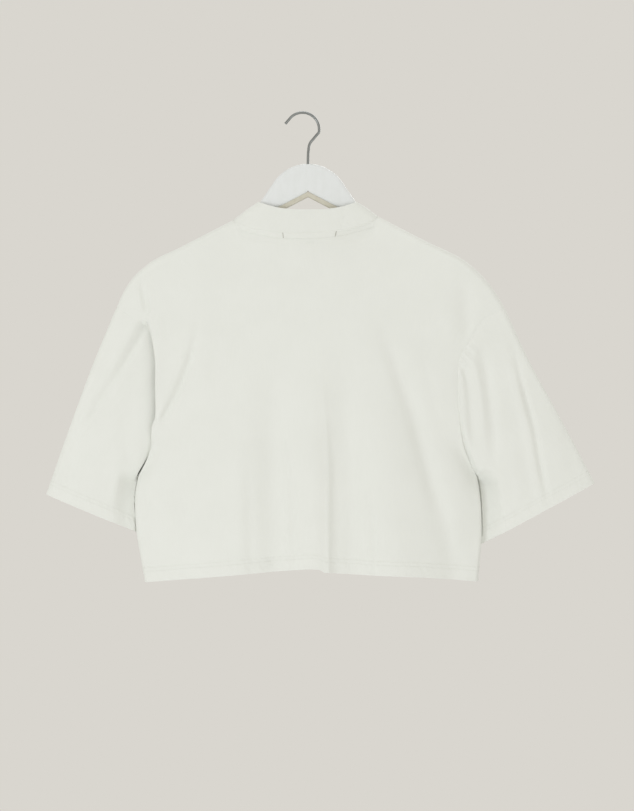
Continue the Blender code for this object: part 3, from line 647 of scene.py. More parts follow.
@dataclass(frozen=True)
class PaintedWoodFinish:
    """White satin paint on wood, thin along the notch where bare wood shows through."""

    name: str = "painted_wood"
    paint: tuple[float, float, float] = (0.785, 0.805, 0.805)
    worn_paint: tuple[float, float, float] = (0.765, 0.785, 0.780)
    bare_wood: tuple[float, float, float] = (0.50, 0.475, 0.37)
    apex_spot: tuple[float, float, float] = (0.20, 0.12, 0.07)
    notch_z: float = -0.1036
    strip: float = 0.0007

    def material(self, groups: EffectGroups) -> bpy.types.Material:
        """Builds the finish: brushed paint, and a strip along the notch measured from its apex."""
        made, tree, shader = new_material(self.name)
        place = tree.place()
        parts = tree.add("ShaderNodeSeparateXYZ", place)
        reach = tree.math("ABSOLUTE", tree.math("SUBTRACT", parts.outputs[0], NOTCH_X))
        line = tree.math("MULTIPLY_ADD", reach, -math.tan(NOTCH_SLANT), self.notch_z)
        above = tree.math("SUBTRACT", parts.outputs[2], line)
        above = tree.math("MULTIPLY_ADD", tree.noise(place, 420.0, 4.0), 0.0009, above)
        strip = tree.ramp(above, self.strip * 0.80, self.strip * 1.05, 1.0, 0.0)
        # A dark brown spot where the notch's two slants meet at its apex.
        spot = tree.ramp(tree.math("ADD", reach, above), 0.0012, 0.0042, 1.0, 0.0)
        streaks = tree.group(groups.streaks, Place=place, Scale=160.0, Stretch=0.25)
        brushed = tree.blend(tree.ramp(streaks, 0.35, 0.70), self.paint, self.worn_paint)
        coat = tree.blend(tree.math("MULTIPLY", strip, 0.9), brushed, self.bare_wood)
        tree.feed(shader, {
            "Base Color": tree.blend(spot, coat, self.apex_spot),
            "Roughness": tree.ramp(streaks, 0.2, 0.8, 0.36, 0.52),
            "Normal": tree.bump(streaks, 0.25, 0.0002),
        })
        shader.inputs["Coat Weight"].default_value = 0.10
        shader.inputs["Coat Roughness"].default_value = 0.30
        return made


@dataclass(frozen=True)
class BareWoodFinish:
    """Pale bare wood with a fine grain and one dark brown spot at the notch's apex."""

    name: str = "bare_wood"
    light: tuple[float, float, float] = (0.66, 0.64, 0.55)
    dark: tuple[float, float, float] = (0.54, 0.51, 0.41)
    apex_spot: tuple[float, float, float] = (0.09, 0.055, 0.03)
    apex_spot_place: tuple[float, float, float] = (0.0078, -0.0030, -0.1056)
    apex_spot_radius: float = 0.0021

    def material(self, groups: EffectGroups) -> bpy.types.Material:
        """Builds the finish from the shared streaks."""
        made, tree, shader = new_material(self.name)
        place = tree.place()
        streaks = tree.group(groups.streaks, Place=place, Scale=240.0, Stretch=0.8)
        grain = tree.blend(streaks, self.dark, self.light)
        # A dark brown spot at the notch's apex, as on the painted face.
        away = tree.add("ShaderNodeVectorMath", place, self.apex_spot_place, operation="DISTANCE").outputs["Value"]
        spot = tree.ramp(away, self.apex_spot_radius * 0.5, self.apex_spot_radius, 1.0, 0.0)
        tree.feed(shader, {
            "Base Color": tree.blend(spot, grain, self.apex_spot),
            "Roughness": tree.ramp(streaks, 0.2, 0.8, 0.6, 0.8),
        })
        return made


@dataclass(frozen=True)
class SteelWireFinish:
    """Bright drawn wire with fine lines and slightly duller patches."""

    name: str = "steel_wire"
    bright: tuple[float, float, float] = (0.33, 0.345, 0.34)
    dull: tuple[float, float, float] = (0.24, 0.25, 0.245)

    def material(self, groups: EffectGroups) -> bpy.types.Material:
        """Builds the finish."""
        made, tree, shader = new_material(self.name)
        place = tree.place()
        streaks = tree.group(groups.streaks, Place=place, Scale=900.0)
        patches = tree.ramp(tree.noise(place, 120.0, 4.0), 0.35, 0.70)
        mixed = tree.math("MULTIPLY_ADD", streaks, 0.4, tree.math("MULTIPLY", patches, 0.6))
        colour = tree.blend(mixed, self.bright, self.dull)
        tree.feed(shader, {"Base Color": colour, "Roughness": tree.ramp(mixed, 0.0, 1.0, 0.30, 0.45)})
        shader.inputs["Metallic"].default_value = 1.0
        return made


@dataclass(frozen=True)
class FloorFinish:
    """Plain pale floor with the faintest unevenness."""

    name: str = "pale_floor"
    light: tuple[float, float, float] = (0.82, 0.812, 0.795)
    dark: tuple[float, float, float] = (0.80, 0.792, 0.775)

    def material(self) -> bpy.types.Material:
        """Builds the finish."""
        made, tree, shader = new_material(self.name)
        tree.feed(shader, {
            "Base Color": tree.blend(tree.noise(tree.place(), 1.4), self.light, self.dark),
            "Roughness": 0.9,
        })
        return made


# ---------------------------------------------------------------- pieces and cloth shells

def add_object(name: str, mesh: bpy.types.Mesh, finish: bpy.types.Material) -> bpy.types.Object:
    """Puts a mesh in the scene as one object in one finish."""
    mesh.materials.clear()
    mesh.materials.append(finish)
    obj = bpy.data.objects.new(name, mesh)
    bpy.context.scene.collection.objects.link(obj)
    return obj


def add_mesh(name: str, points: np.ndarray, faces: np.ndarray, finish: bpy.types.Material
             ) -> bpy.types.Object:
    """Makes a smooth-shaded object of points and faces in one finish."""
    mesh = bpy.data.meshes.new(name)
    mesh.from_pydata(points.tolist(), [], faces.tolist())
    mesh.polygons.foreach_set("use_smooth", np.ones(len(faces), bool))
    return add_object(name, mesh, finish)


def declare(obj: bpy.types.Object, node: str | None = None) -> bpy.types.Object:
    """Rides a piece on the body, and hides the solid that it stands for."""
    if node:
        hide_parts(node)
    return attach(obj, BODY)


@dataclass
class Shell:
    """One piece of cloth: a grid of its outer surface, turned into a thin closed shell.

    Attributes:
        name: The piece's name.
        outer: Grid of points, rows down and columns across.
        closed: Whether the columns close into a ring.
        normals: Outward unit normals of the grid.
        thickness: The cloth's thickness at each point.
    """

    name: str
    outer: np.ndarray
    closed: bool
    normals: np.ndarray
    thickness: np.ndarray

    def build(self, finish: bpy.types.Material) -> bpy.types.Object:
        """Makes the shell's mesh with its cloth map and its finish, and returns the object."""
        rows, columns = self.outer.shape[:2]
        inner = self.outer - self.thickness[..., None] * self.normals
        count = rows * columns
        points = np.concatenate([self.outer.reshape(-1, 3), inner.reshape(-1, 3)])
        last = columns if self.closed else columns - 1
        j, i = np.meshgrid(np.arange(rows - 1), np.arange(last), indexing="ij")
        k = (i + 1) % columns
        a, b = (j * columns + i).ravel(), (j * columns + k).ravel()
        c, d = ((j + 1) * columns + k).ravel(), ((j + 1) * columns + i).ravel()
        outside = np.stack([a, b, c, d], axis=-1)
        inside = np.stack([a, d, c, b], axis=-1) + count
        span = np.arange(last)
        after = (span + 1) % columns
        low = (rows - 1) * columns
        rims = [
            np.stack([after, span, span + count, after + count], axis=-1),
            np.stack([low + span, low + after, low + after + count, low + span + count], axis=-1),
        ]
        if not self.closed:
            down = np.arange(rows - 1) * columns
            right = down + columns - 1
            rims.append(np.stack([down, down + columns, down + columns + count, down + count], axis=-1))
            rims.append(np.stack([right + columns, right, right + count, right + columns + count], axis=-1))
        faces = np.concatenate([outside, inside, *rims])
        middle = np.cross(points[c] - points[a], points[b] - points[d])
        if np.sum(middle * self.normals.reshape(-1, 3)[a]) > 0:
            faces = faces[:, ::-1]
        obj = add_mesh(self.name, points, faces, finish)
        obj.data.set_sharp_from_angle(angle=CRISP_ANGLE)
        self._map(obj.data, faces, columns, count)
        return obj

    def _map(self, mesh: bpy.types.Mesh, faces: np.ndarray, columns: int, count: int) -> None:
        """Gives every corner its place on the flat cloth, in metres across and down."""
        wide = np.concatenate([self.outer, self.outer[:, :1]], axis=1) if self.closed else self.outer
        across = run_along(wide, 1).mean(axis=0)
        down = run_along(self.outer, 0).mean(axis=1)
        index = faces % count
        column, row = index % columns, index // columns
        if self.closed:
            wraps = (column.max(axis=1) - column.min(axis=1)) > columns / 2
            column = np.where(wraps[:, None] & (column == 0), columns, column)
        flat = np.stack([across[column], down[row]], axis=-1).reshape(-1, 2)
        layer = mesh.uv_layers.new(name="cloth")
        layer.data.foreach_set("uv", flat.astype(np.float32).ravel())


def grid_normals(grid: np.ndarray, closed: bool, outward: np.ndarray) -> np.ndarray:
    """Unit normals of a grid that face along outward on the whole."""
    if closed:
        wide = np.concatenate([grid[:, -1:], grid, grid[:, :1]], axis=1)
        across = wide[:, 2:] - wide[:, :-2]
    else:
        across = np.gradient(grid, axis=1)
    normals = unit(np.cross(across, np.gradient(grid, axis=0)))
    return normals if np.sum(normals * outward) > 0 else -normals


def share_normals(*places: tuple[np.ndarray, tuple[int, int]]) -> None:
    """Gives seam points the same normal in each piece that meets there."""
    total = unit(sum(normals[index] for normals, index in places))
    for normals, index in places:
        normals[index] = total


# ---------------------------------------------------------------- the garment's form

@dataclass
class GarmentForm:
    """The hanging garment's smooth form, from which each piece takes its grid."""

    neck_centre_x: float = 0.004
    neck_half_width: float = 0.095
    neck_drop: dict[Face, float] = field(default_factory=lambda: {Face.BACK: 0.0205, Face.FRONT: 0.080})
    neck_depth: dict[Face, float] = field(default_factory=lambda: {Face.BACK: 0.0185, Face.FRONT: 0.0235})
    neck_squareness: float = 3.2
    neck_shares: tuple[float, float] = (0.264, 0.700)
    underarm_share: float = 0.64
    hem_rise: float = 0.0185
    hem_rise_power: float = 1.1
    back_length: float = 0.43
    ridge_radius: float = 0.0085
    neck_ease: float = 0.085
    side_radius: float = 0.005
    side_share: float = 0.25
    side_reach: float = 0.150
    edge_reach: float = 0.022
    side_ease: tuple[float, float] = (0.16, 0.30)
    fold_ease: tuple[float, float] = (0.045, 0.05)
    hem_step: float = 0.0034
    hem_step_x: float = 0.0245
    hem_step_end: float = 0.165
    hem_step_top: float = -0.520

    @staticmethod
    def along(stations: list[Station], share: np.ndarray, column: str) -> np.ndarray:
        """A column of an outline table at a share of the outline's length."""
        points = np.array([(s.x, s.z) for s in stations])
        run = run_along(points, 0)
        return hermite(run / run[-1], np.array([getattr(s, column) for s in stations]), share)

    def drop(self, x: np.ndarray, face: Face) -> np.ndarray:
        """How far the neck seam dips below the line between the neck points."""
        across = np.clip((x - self.neck_centre_x) / self.neck_half_width, -1, 1)
        if face is Face.BACK:
            return self.neck_drop[face] * (1 - across**2) ** 0.65
        return self.neck_drop[face] * (1 - np.abs(across) ** 2.4) ** 0.9

    def top_edge(self, u: np.ndarray, face: Face) -> tuple[np.ndarray, np.ndarray, np.ndarray]:
        """x, y, z of the shoulder lines and the neck seam, left to right."""
        left_end, right_end = self.neck_shares
        on_left = u < (left_end + right_end) / 2
        x, z = (
            np.where(
                on_left,
                self.along(SHOULDERS[Side.LEFT], 1 - u / left_end, column),
                self.along(SHOULDERS[Side.RIGHT], (u - right_end) / (1 - right_end), column),
            )
            for column in ("x", "z")
        )
        across = (u - left_end) / (right_end - left_end)
        in_neck = (across > 1e-6) & (across < 1 - 1e-6)
        # Columns crowd a little towards the neck's ends, where its seam turns fastest.
        swing = -0.6 * np.cos(np.pi * np.clip(across, 0, 1)) + 0.4 * (2 * np.clip(across, 0, 1) - 1)
        neck_x = self.neck_centre_x + self.neck_half_width * swing
        first, last = SHOULDERS[Side.LEFT][0].z, SHOULDERS[Side.RIGHT][0].z
        neck_z = first + (last - first) * across - self.drop(neck_x, face)
        bow = (1 - np.abs(swing) ** self.neck_squareness) ** (1 / self.neck_squareness)
        y = np.where(in_neck, face.value * self.neck_depth[face] * bow, 0.0)
        return np.where(in_neck, neck_x, x), y, np.where(in_neck, neck_z, z)

    def side_edge(self, v: np.ndarray, side: Side, face: Face) -> tuple[np.ndarray, ...]:
        """x, y, z of one armhole and the side seam under it, from the top down."""
        column = "y_back" if face is Face.BACK else "y_front"
        up = np.clip(v / self.underarm_share, 0, 1)
        down = np.clip((v - self.underarm_share) / (1 - self.underarm_share), 0, 1)
        return tuple(
            np.where(
                v < self.underarm_share,
                self.along(ARMHOLES[side], up, name),
                self.along(SIDES[side], down, name),
            )
            for name in ("x", column, "z")
        )

    def hem_edge(self, u: np.ndarray) -> tuple[np.ndarray, np.ndarray]:
        """x and z of the hem, left to right."""
        left, right = SIDES[Side.LEFT][-1], SIDES[Side.RIGHT][-1]
        rise = self.hem_rise * (1 - np.abs(2 * u - 1) ** self.hem_rise_power)
        return left.x + (right.x - left.x) * u, left.z + (right.z - left.z) * u + rise

    @staticmethod
    def depth(z: np.ndarray, face: Face) -> np.ndarray:
        """How far a panel stands off the middle plane at a height."""
        column = "back" if face is Face.BACK else "front"
        return hermite(np.array([d.z for d in DEPTHS]), np.array([getattr(d, column) for d in DEPTHS]), z)

    @staticmethod
    def folds(x: np.ndarray, z: np.ndarray, face: Face) -> np.ndarray:
        """How far the long soft folds stand proud of a panel."""
        total = np.zeros_like(x)
        for fold in FOLDS[face]:
            down = np.clip((fold.z_top - z) / (fold.z_top - fold.z_low), 0, 1)
            middle = fold.x_top + (fold.x_low - fold.x_top) * down
            total += fold.height * bell(x - middle, fold.half_width) * smooth(down * 2.2)
        return total

    def panel_point(self, u: np.ndarray, v: np.ndarray, face: Face) -> np.ndarray:
        """Outer surface of the back or front panel at shares u across and v down."""
        top_x, top_y, top_z = self.top_edge(u, face)
        hem_x, hem_z = self.hem_edge(u)
        left_x, left_y, left_z = self.side_edge(v, Side.LEFT, face)
        right_x, right_y, right_z = self.side_edge(v, Side.RIGHT, face)
        high_left, high_right = ARMHOLES[Side.LEFT][0], ARMHOLES[Side.RIGHT][0]
        low_left, low_right = SIDES[Side.LEFT][-1], SIDES[Side.RIGHT][-1]
        x, z = (
            (1 - v) * (top - (1 - u) * getattr(high_left, column) - u * getattr(high_right, column))
            + v * (hem - (1 - u) * getattr(low_left, column) - u * getattr(low_right, column))
            + (1 - u) * left + u * right
            for column, top, hem, left, right in (
                ("x", top_x, hem_x, left_x, right_x), ("z", top_z, hem_z, left_z, right_z),
            )
        )
        reach = np.minimum(u, 1 - u) * (right_x - left_x)
        below = smooth((v - self.underarm_share + self.side_ease[0]) / self.side_ease[1])
        inward = self._inward(reach, self.side_share * below)
        over = rounded(v * self.back_length / self.ridge_radius)
        stand = face.value * self.depth(z, face)
        across = np.clip((top_x - self.neck_centre_x) / self.neck_half_width, -1, 1)
        full = (1 - across**2) ** 2 * (1 - smooth(v * self.back_length / self.neck_ease))
        stand = stand + full * (face.value * self.neck_depth[face] - stand)
        inner = (1 - over) * top_y + over * stand
        edge_over = np.where(v < self.underarm_share, over, 1)
        edge_y = np.where(u < 0.5, left_y, right_y)
        calm = face.value * hermite(EDGE_SHARES, EDGE_CALM[face], v)
        side = (1 - inward) * calm * edge_over + (edge_y - calm) * edge_over * bell(reach, self.edge_reach)
        y = np.where(v <= 0, top_y, side + inward * inner)
        soft = smooth(reach / self.fold_ease[0]) * smooth((top_z - z) / self.fold_ease[1])
        y = y + face.value * self.folds(x, z, face) * soft
        return np.stack([x, y, z], axis=-1)

    def _inward(self, reach: np.ndarray, share: object) -> np.ndarray:
        """How far a panel has come from its side's place to its full stand.

        Args:
            reach: Distance in from the side.
            share: How much of the way it takes in the small turn at the side itself.

        Returns:
            From 0 at the side to 1.
        """
        turned = rounded(reach / self.side_radius)
        return share * turned + (1 - share) * np.sin(np.pi / 2 * np.clip(reach / self.side_reach, 0, 1))

    def front_stand(self, x: np.ndarray, z: np.ndarray) -> tuple[np.ndarray, np.ndarray]:
        """y of the front panel at x, z, and how far in from its side that is."""
        top, low = SIDES[Side.LEFT][0].z, SIDES[Side.LEFT][-1].z
        v = self.underarm_share + (1 - self.underarm_share) * np.clip((top - z) / (top - low), 0, 1)
        left_x, left_y, _ = self.side_edge(v, Side.LEFT, Face.FRONT)
        right_x, _, _ = self.side_edge(v, Side.RIGHT, Face.FRONT)
        u = (x - left_x) / (right_x - left_x)
        reach = np.minimum(u, 1 - u) * (right_x - left_x)
        inward = self._inward(reach, self.side_share)
        return (1 - inward) * left_y + inward * self.depth(z, Face.FRONT), reach


# ---------------------------------------------------------------- body panels

@dataclass
class GridShares:
    """Where a panel's columns and rows stand, close together at the seams and the hem."""

    seam_steps: tuple[float, ...] = (0.0, 0.0012, 0.0025, 0.0040, 0.0058, 0.0080, 0.0110, 0.0150)
    top_steps: tuple[float, ...] = (0.0, 0.0008, 0.0018, 0.0030, 0.0045, 0.0062, 0.0080, 0.0098, 0.0116,
                                    0.0134, 0.0152, 0.0170, 0.0188, 0.0206, 0.0226, 0.0250, 0.0285, 0.0335)
    shoulder_columns: int = 52
    neck_columns: int = 68
    armhole_rows: int = 108
    side_rows: int = 40
    hem_start: float = 0.944
    hem_rows: int = 34

    def columns(self, form: GarmentForm) -> tuple[np.ndarray, int, int]:
        """Column shares, and the columns where the neck starts and ends."""
        left_end, right_end = form.neck_shares
        rest = np.linspace(self.seam_steps[-1], left_end, self.shoulder_columns + 1)[1:]
        edge = np.concatenate([self.seam_steps, rest])
        neck = np.linspace(left_end, right_end, self.neck_columns + 1)[1:-1]
        right = 1 - edge[::-1] * (1 - right_end) / left_end
        first = len(edge) - 1
        return np.concatenate([edge, neck, right]), first, first + self.neck_columns

    def rows(self, form: GarmentForm) -> tuple[np.ndarray, int]:
        """Row shares, and the row of the underarm."""
        top = np.array(self.top_steps)
        armhole = np.linspace(top[-1], form.underarm_share, self.armhole_rows + 1)[1:]
        side = np.linspace(form.underarm_share, self.hem_start, self.side_rows + 1)[1:]
        hem = np.linspace(self.hem_start, 1, self.hem_rows + 1)[1:]
        return np.concatenate([top, armhole, side, hem]), len(top) + self.armhole_rows - 1


@dataclass
class Pleat:
    """The back panel's fold that laps over the left sleeve and hides the armhole seam."""

    radius: float = 0.0035
    leg: float = 0.017
    heights: tuple[float, float, float, float] = (-0.270, -0.306, -0.398, -0.450)
    proud: float = 0.0015
    columns: int = 22

    def section(self, run: np.ndarray, lapped: float) -> tuple[np.ndarray, np.ndarray, float]:
        """How the cloth turns back under itself.

        Args:
            run: The way from the pleat's front face to the seam.
            lapped: From 0, flat, to 1, folded over.

        Returns:
            How far each point has gone towards the sleeve and behind the front face, and how far the
            front face stands from the pleat's outermost line.
        """
        turn = max(math.pi * min(1.0, 2 * lapped), 1e-4)
        leg = self.leg * max(0.0, 2 * lapped - 1)
        bend = math.pi * self.radius
        plain = self.leg - leg
        radius = bend / turn
        around = np.clip((run - plain) / bend, 0, 1) * turn
        after = np.clip(run - plain - bend, 0, None)
        out = np.minimum(run, plain) + radius * np.sin(around) + after * math.cos(turn)
        behind = radius * (1 - np.cos(around)) + after * math.sin(turn)
        return out, behind, plain + radius * math.sin(min(turn, math.pi / 2))

    def lapped(self, z: float) -> float:
        """How far the pleat is folded over at a height."""
        start, full, still, end = self.heights
        return float(smooth((start - z) / (start - full)) * smooth((z - end) / (still - end)))


# How strongly the hems pucker everywhere, and how much more at places x over a reach to either side.
PUCKERS = {
    Face.BACK: (0.22, ((1.5, -0.050, 0.026), (0.8, 0.047, 0.012), (0.5, 0.150, 0.030))),
    Face.FRONT: (0.35, ((0.9, 0.030, 0.030), (0.7, -0.120, 0.030))),
}


@dataclass
class BodyPanel:
    """The back or the front of the body, with its seams, its hem and its creases."""

    face: Face
    form: GarmentForm
    shares: GridShares
    pleat: Pleat
    creases: tuple[Crease, ...]
    strip_height: float = 0.0078
    strip_proud: float = 0.0008
    strip_ends: float = 0.006

    def __post_init__(self) -> None:
        """Works out the grid and its normals."""
        self.u, self.first, self.last = self.shares.columns(self.form)
        self.v, self.underarm = self.shares.rows(self.form)
        self.grid = self._back_grid() if self.face is Face.BACK else self._plain_grid()
        self.extra = self.grid.shape[1] - len(self.u)
        self.normals = grid_normals(self.grid, False, np.array((0, self.face.value, 0)))

    def _plain_grid(self) -> np.ndarray:
        """The panel without a pleat."""
        u, v = np.meshgrid(self.u, self.v)
        return self._hem_step(self.form.panel_point(u, v, self.face))

    def _hem_step(self, grid: np.ndarray) -> np.ndarray:
        """Lets the hem drop a little to one side of the middle crease, as the cloth has slid there."""
        low = smooth((self.form.hem_step_top - grid[..., 2]) / 0.07)
        slid = smooth((grid[..., 0] - self.form.hem_step_x + 0.003) / 0.008)
        slid = slid * smooth((self.form.hem_step_end - grid[..., 0]) / 0.11)
        grid[..., 2] -= self.form.hem_step * low * slid
        return grid

    def _back_grid(self) -> np.ndarray:
        """The back panel, with the pleat as its first columns."""
        width = ARMHOLES[Side.RIGHT][4].x - ARMHOLES[Side.LEFT][4].x
        length = math.pi * self.pleat.radius + self.pleat.leg
        share = length / width
        beyond = np.concatenate([[share], self.u[self.u > share + 0.003]])
        run = length * (1 - np.arange(self.pleat.columns) / self.pleat.columns)
        rows = []
        self.folded = np.zeros(len(self.v))
        for row, v in enumerate(self.v):
            edge_z = self.form.panel_point(np.array([0.0]), np.array([v]), self.face)[0, 2]
            lapped = self.pleat.lapped(edge_z) if v < self.form.underarm_share else 0.0
            self.folded[row] = min(1.0, 3 * lapped)
            out, behind, reach = self.pleat.section(run, lapped)
            lead = (length - reach) / width
            moved = beyond - lead * np.exp(-(beyond - share) / 0.12)
            body = self.form.panel_point(moved, np.full_like(moved, v), self.face)
            body[:, 1] -= self.pleat.proud * lapped * bell(moved, 0.03)
            spread = share * np.arange(self.pleat.columns + 1) / self.pleat.columns
            plain = self.form.panel_point(spread, np.full(self.pleat.columns + 1, v), self.face)
            drift = (plain[:-1] - plain[-1]) * (1 - lapped)
            drift[:, 0] += run * (1 - lapped)
            lap = body[0] + np.stack([-out, behind, np.zeros_like(out)], axis=-1) + drift
            rows.append(np.concatenate([lap, body]))
        return self._hem_step(np.array(rows))

    @property
    def neck(self) -> range:
        """The columns whose top ends on the neck seam."""
        return range(self.first + self.extra, self.last + self.extra + 1)

    def neck_distance(self) -> np.ndarray:
        """How far each point is from the neck seam."""
        seam = self.grid[0, list(self.neck)]
        fine = np.concatenate([seam[:-1] + share * (seam[1:] - seam[:-1]) for share in (0, 1 / 3, 2 / 3)])
        rows = 50
        distance = np.full(self.grid.shape[:2], 1.0)
        for point in fine:
            away = np.linalg.norm(self.grid[:rows] - point, axis=-1)
            distance[:rows] = np.minimum(distance[:rows], away)
        return distance

    def relief(self) -> np.ndarray:
        """How far seams, hem, creases and swell stand out of the smooth form, along its normals."""
        x, z = self.grid[..., 0], self.grid[..., 2]
        from_left = run_along(self.grid, 1)
        from_right = from_left[:, -1:] - from_left
        from_top = run_along(self.grid, 0)
        total = -SEAM_SINK * bell(np.minimum(from_left, from_right), SEAM_HALF_WIDTH)
        in_neck = np.zeros(x.shape[1])
        in_neck[self.first + self.extra + 1: self.last + self.extra] = 1
        from_neck = self.neck_distance()
        first_x, last_x = x[0, self.neck.start], x[0, self.neck.stop - 1]
        ends = smooth((x - first_x) / self.strip_ends) * smooth((last_x - x) / self.strip_ends)
        past = from_neck - self.strip_height
        strip = self.strip_proud * smooth(from_neck / 0.0012) * smooth((0.0006 - past) / 0.0012)
        strip = strip - 0.0004 * bell(past - 0.0006, 0.0010) - 0.0007 * bell(past - 0.0050, 0.0040)
        total = total + ends * strip - SEAM_SINK * (1 - in_neck) * bell(from_top, SEAM_HALF_WIDTH)
        away = smooth(np.minimum(from_left, from_right) / 0.012) * smooth(from_top / 0.006)
        if self.face is Face.BACK:
            # On the pleat the creases start at its front face, so that the fold itself stays whole.
            inside = 1 - smooth((from_left - from_left[:, [self.pleat.columns]] + 0.002) / 0.012)
            away = away * (1 - self.folded[:, None] * inside)
        creased = sum(crease.relief(x, z) for crease in self.creases)
        swell = 0.00028 * wave(x, z, 11 + self.face.value) * smooth(from_top / 0.05)
        total = total + away * (creased + swell)
        return total + hem_relief(from_left, run_back(self.grid), 31 + self.face.value, self._pucker(x))

    def _pucker(self, x: np.ndarray) -> np.ndarray:
        """How strongly the hem puckers at each place across."""
        everywhere, places = PUCKERS[self.face]
        return everywhere + sum(strength * bell(x - at, reach) for strength, at, reach in places)

    def shell(self, name: str) -> Shell:
        """The finished piece of cloth."""
        return hemmed_shell(name, self.grid, self.normals, self.relief(), False)


def hemmed_shell(name: str, grid: np.ndarray, normals: np.ndarray, relief: np.ndarray, closed: bool) -> Shell:
    """A piece of jersey with its relief, thicker where its last rows are turned up as a hem."""
    hem = smooth((HEM_HEIGHT - run_back(grid)) / 0.0015)
    return Shell(name, grid + relief[..., None] * normals, closed, normals, CLOTH * (1 + HEM_EXTRA * hem))


def hem_relief(across: np.ndarray, from_edge: np.ndarray, seed: int, pucker: np.ndarray) -> np.ndarray:
    """The turned-up hem of any piece: its doubled band, two sunk stitch lines and slanted puckers.

    Args:
        across: How far along the edge each point is.
        from_edge: How far from the edge each point is.
        seed: Picks where the puckers fall.
        pucker: How strong they are at each point.

    Returns:
        How far the surface stands out.
    """
    band = 0.0004 * smooth((HEM_HEIGHT - from_edge) / 0.0012)
    sunk = -0.00014 * sum(bell(from_edge - HEM_HEIGHT + row, 0.0008) for row in HEM_ROWS)
    draw = np.random.default_rng(seed)
    span = float(across.max())
    ridges = np.zeros_like(across)
    place = draw.uniform(0.004, 0.012)
    while place < span - 0.006:
        lean = draw.uniform(0.20, 0.50)
        width = draw.uniform(0.0013, 0.0022)
        tall = draw.uniform(0.35, 1.0)
        ridges += tall * bell(across - place - lean * (HEM_HEIGHT * 0.55 - from_edge), width)
        place += draw.uniform(0.0048, 0.0110)
    window = smooth((from_edge - 0.001) / 0.004) * smooth((HEM_HEIGHT * 1.15 - from_edge) / 0.006)
    return band + sunk + 0.00105 * (ridges - 0.35) * window * pucker


# ---------------------------------------------------------------- sleeves

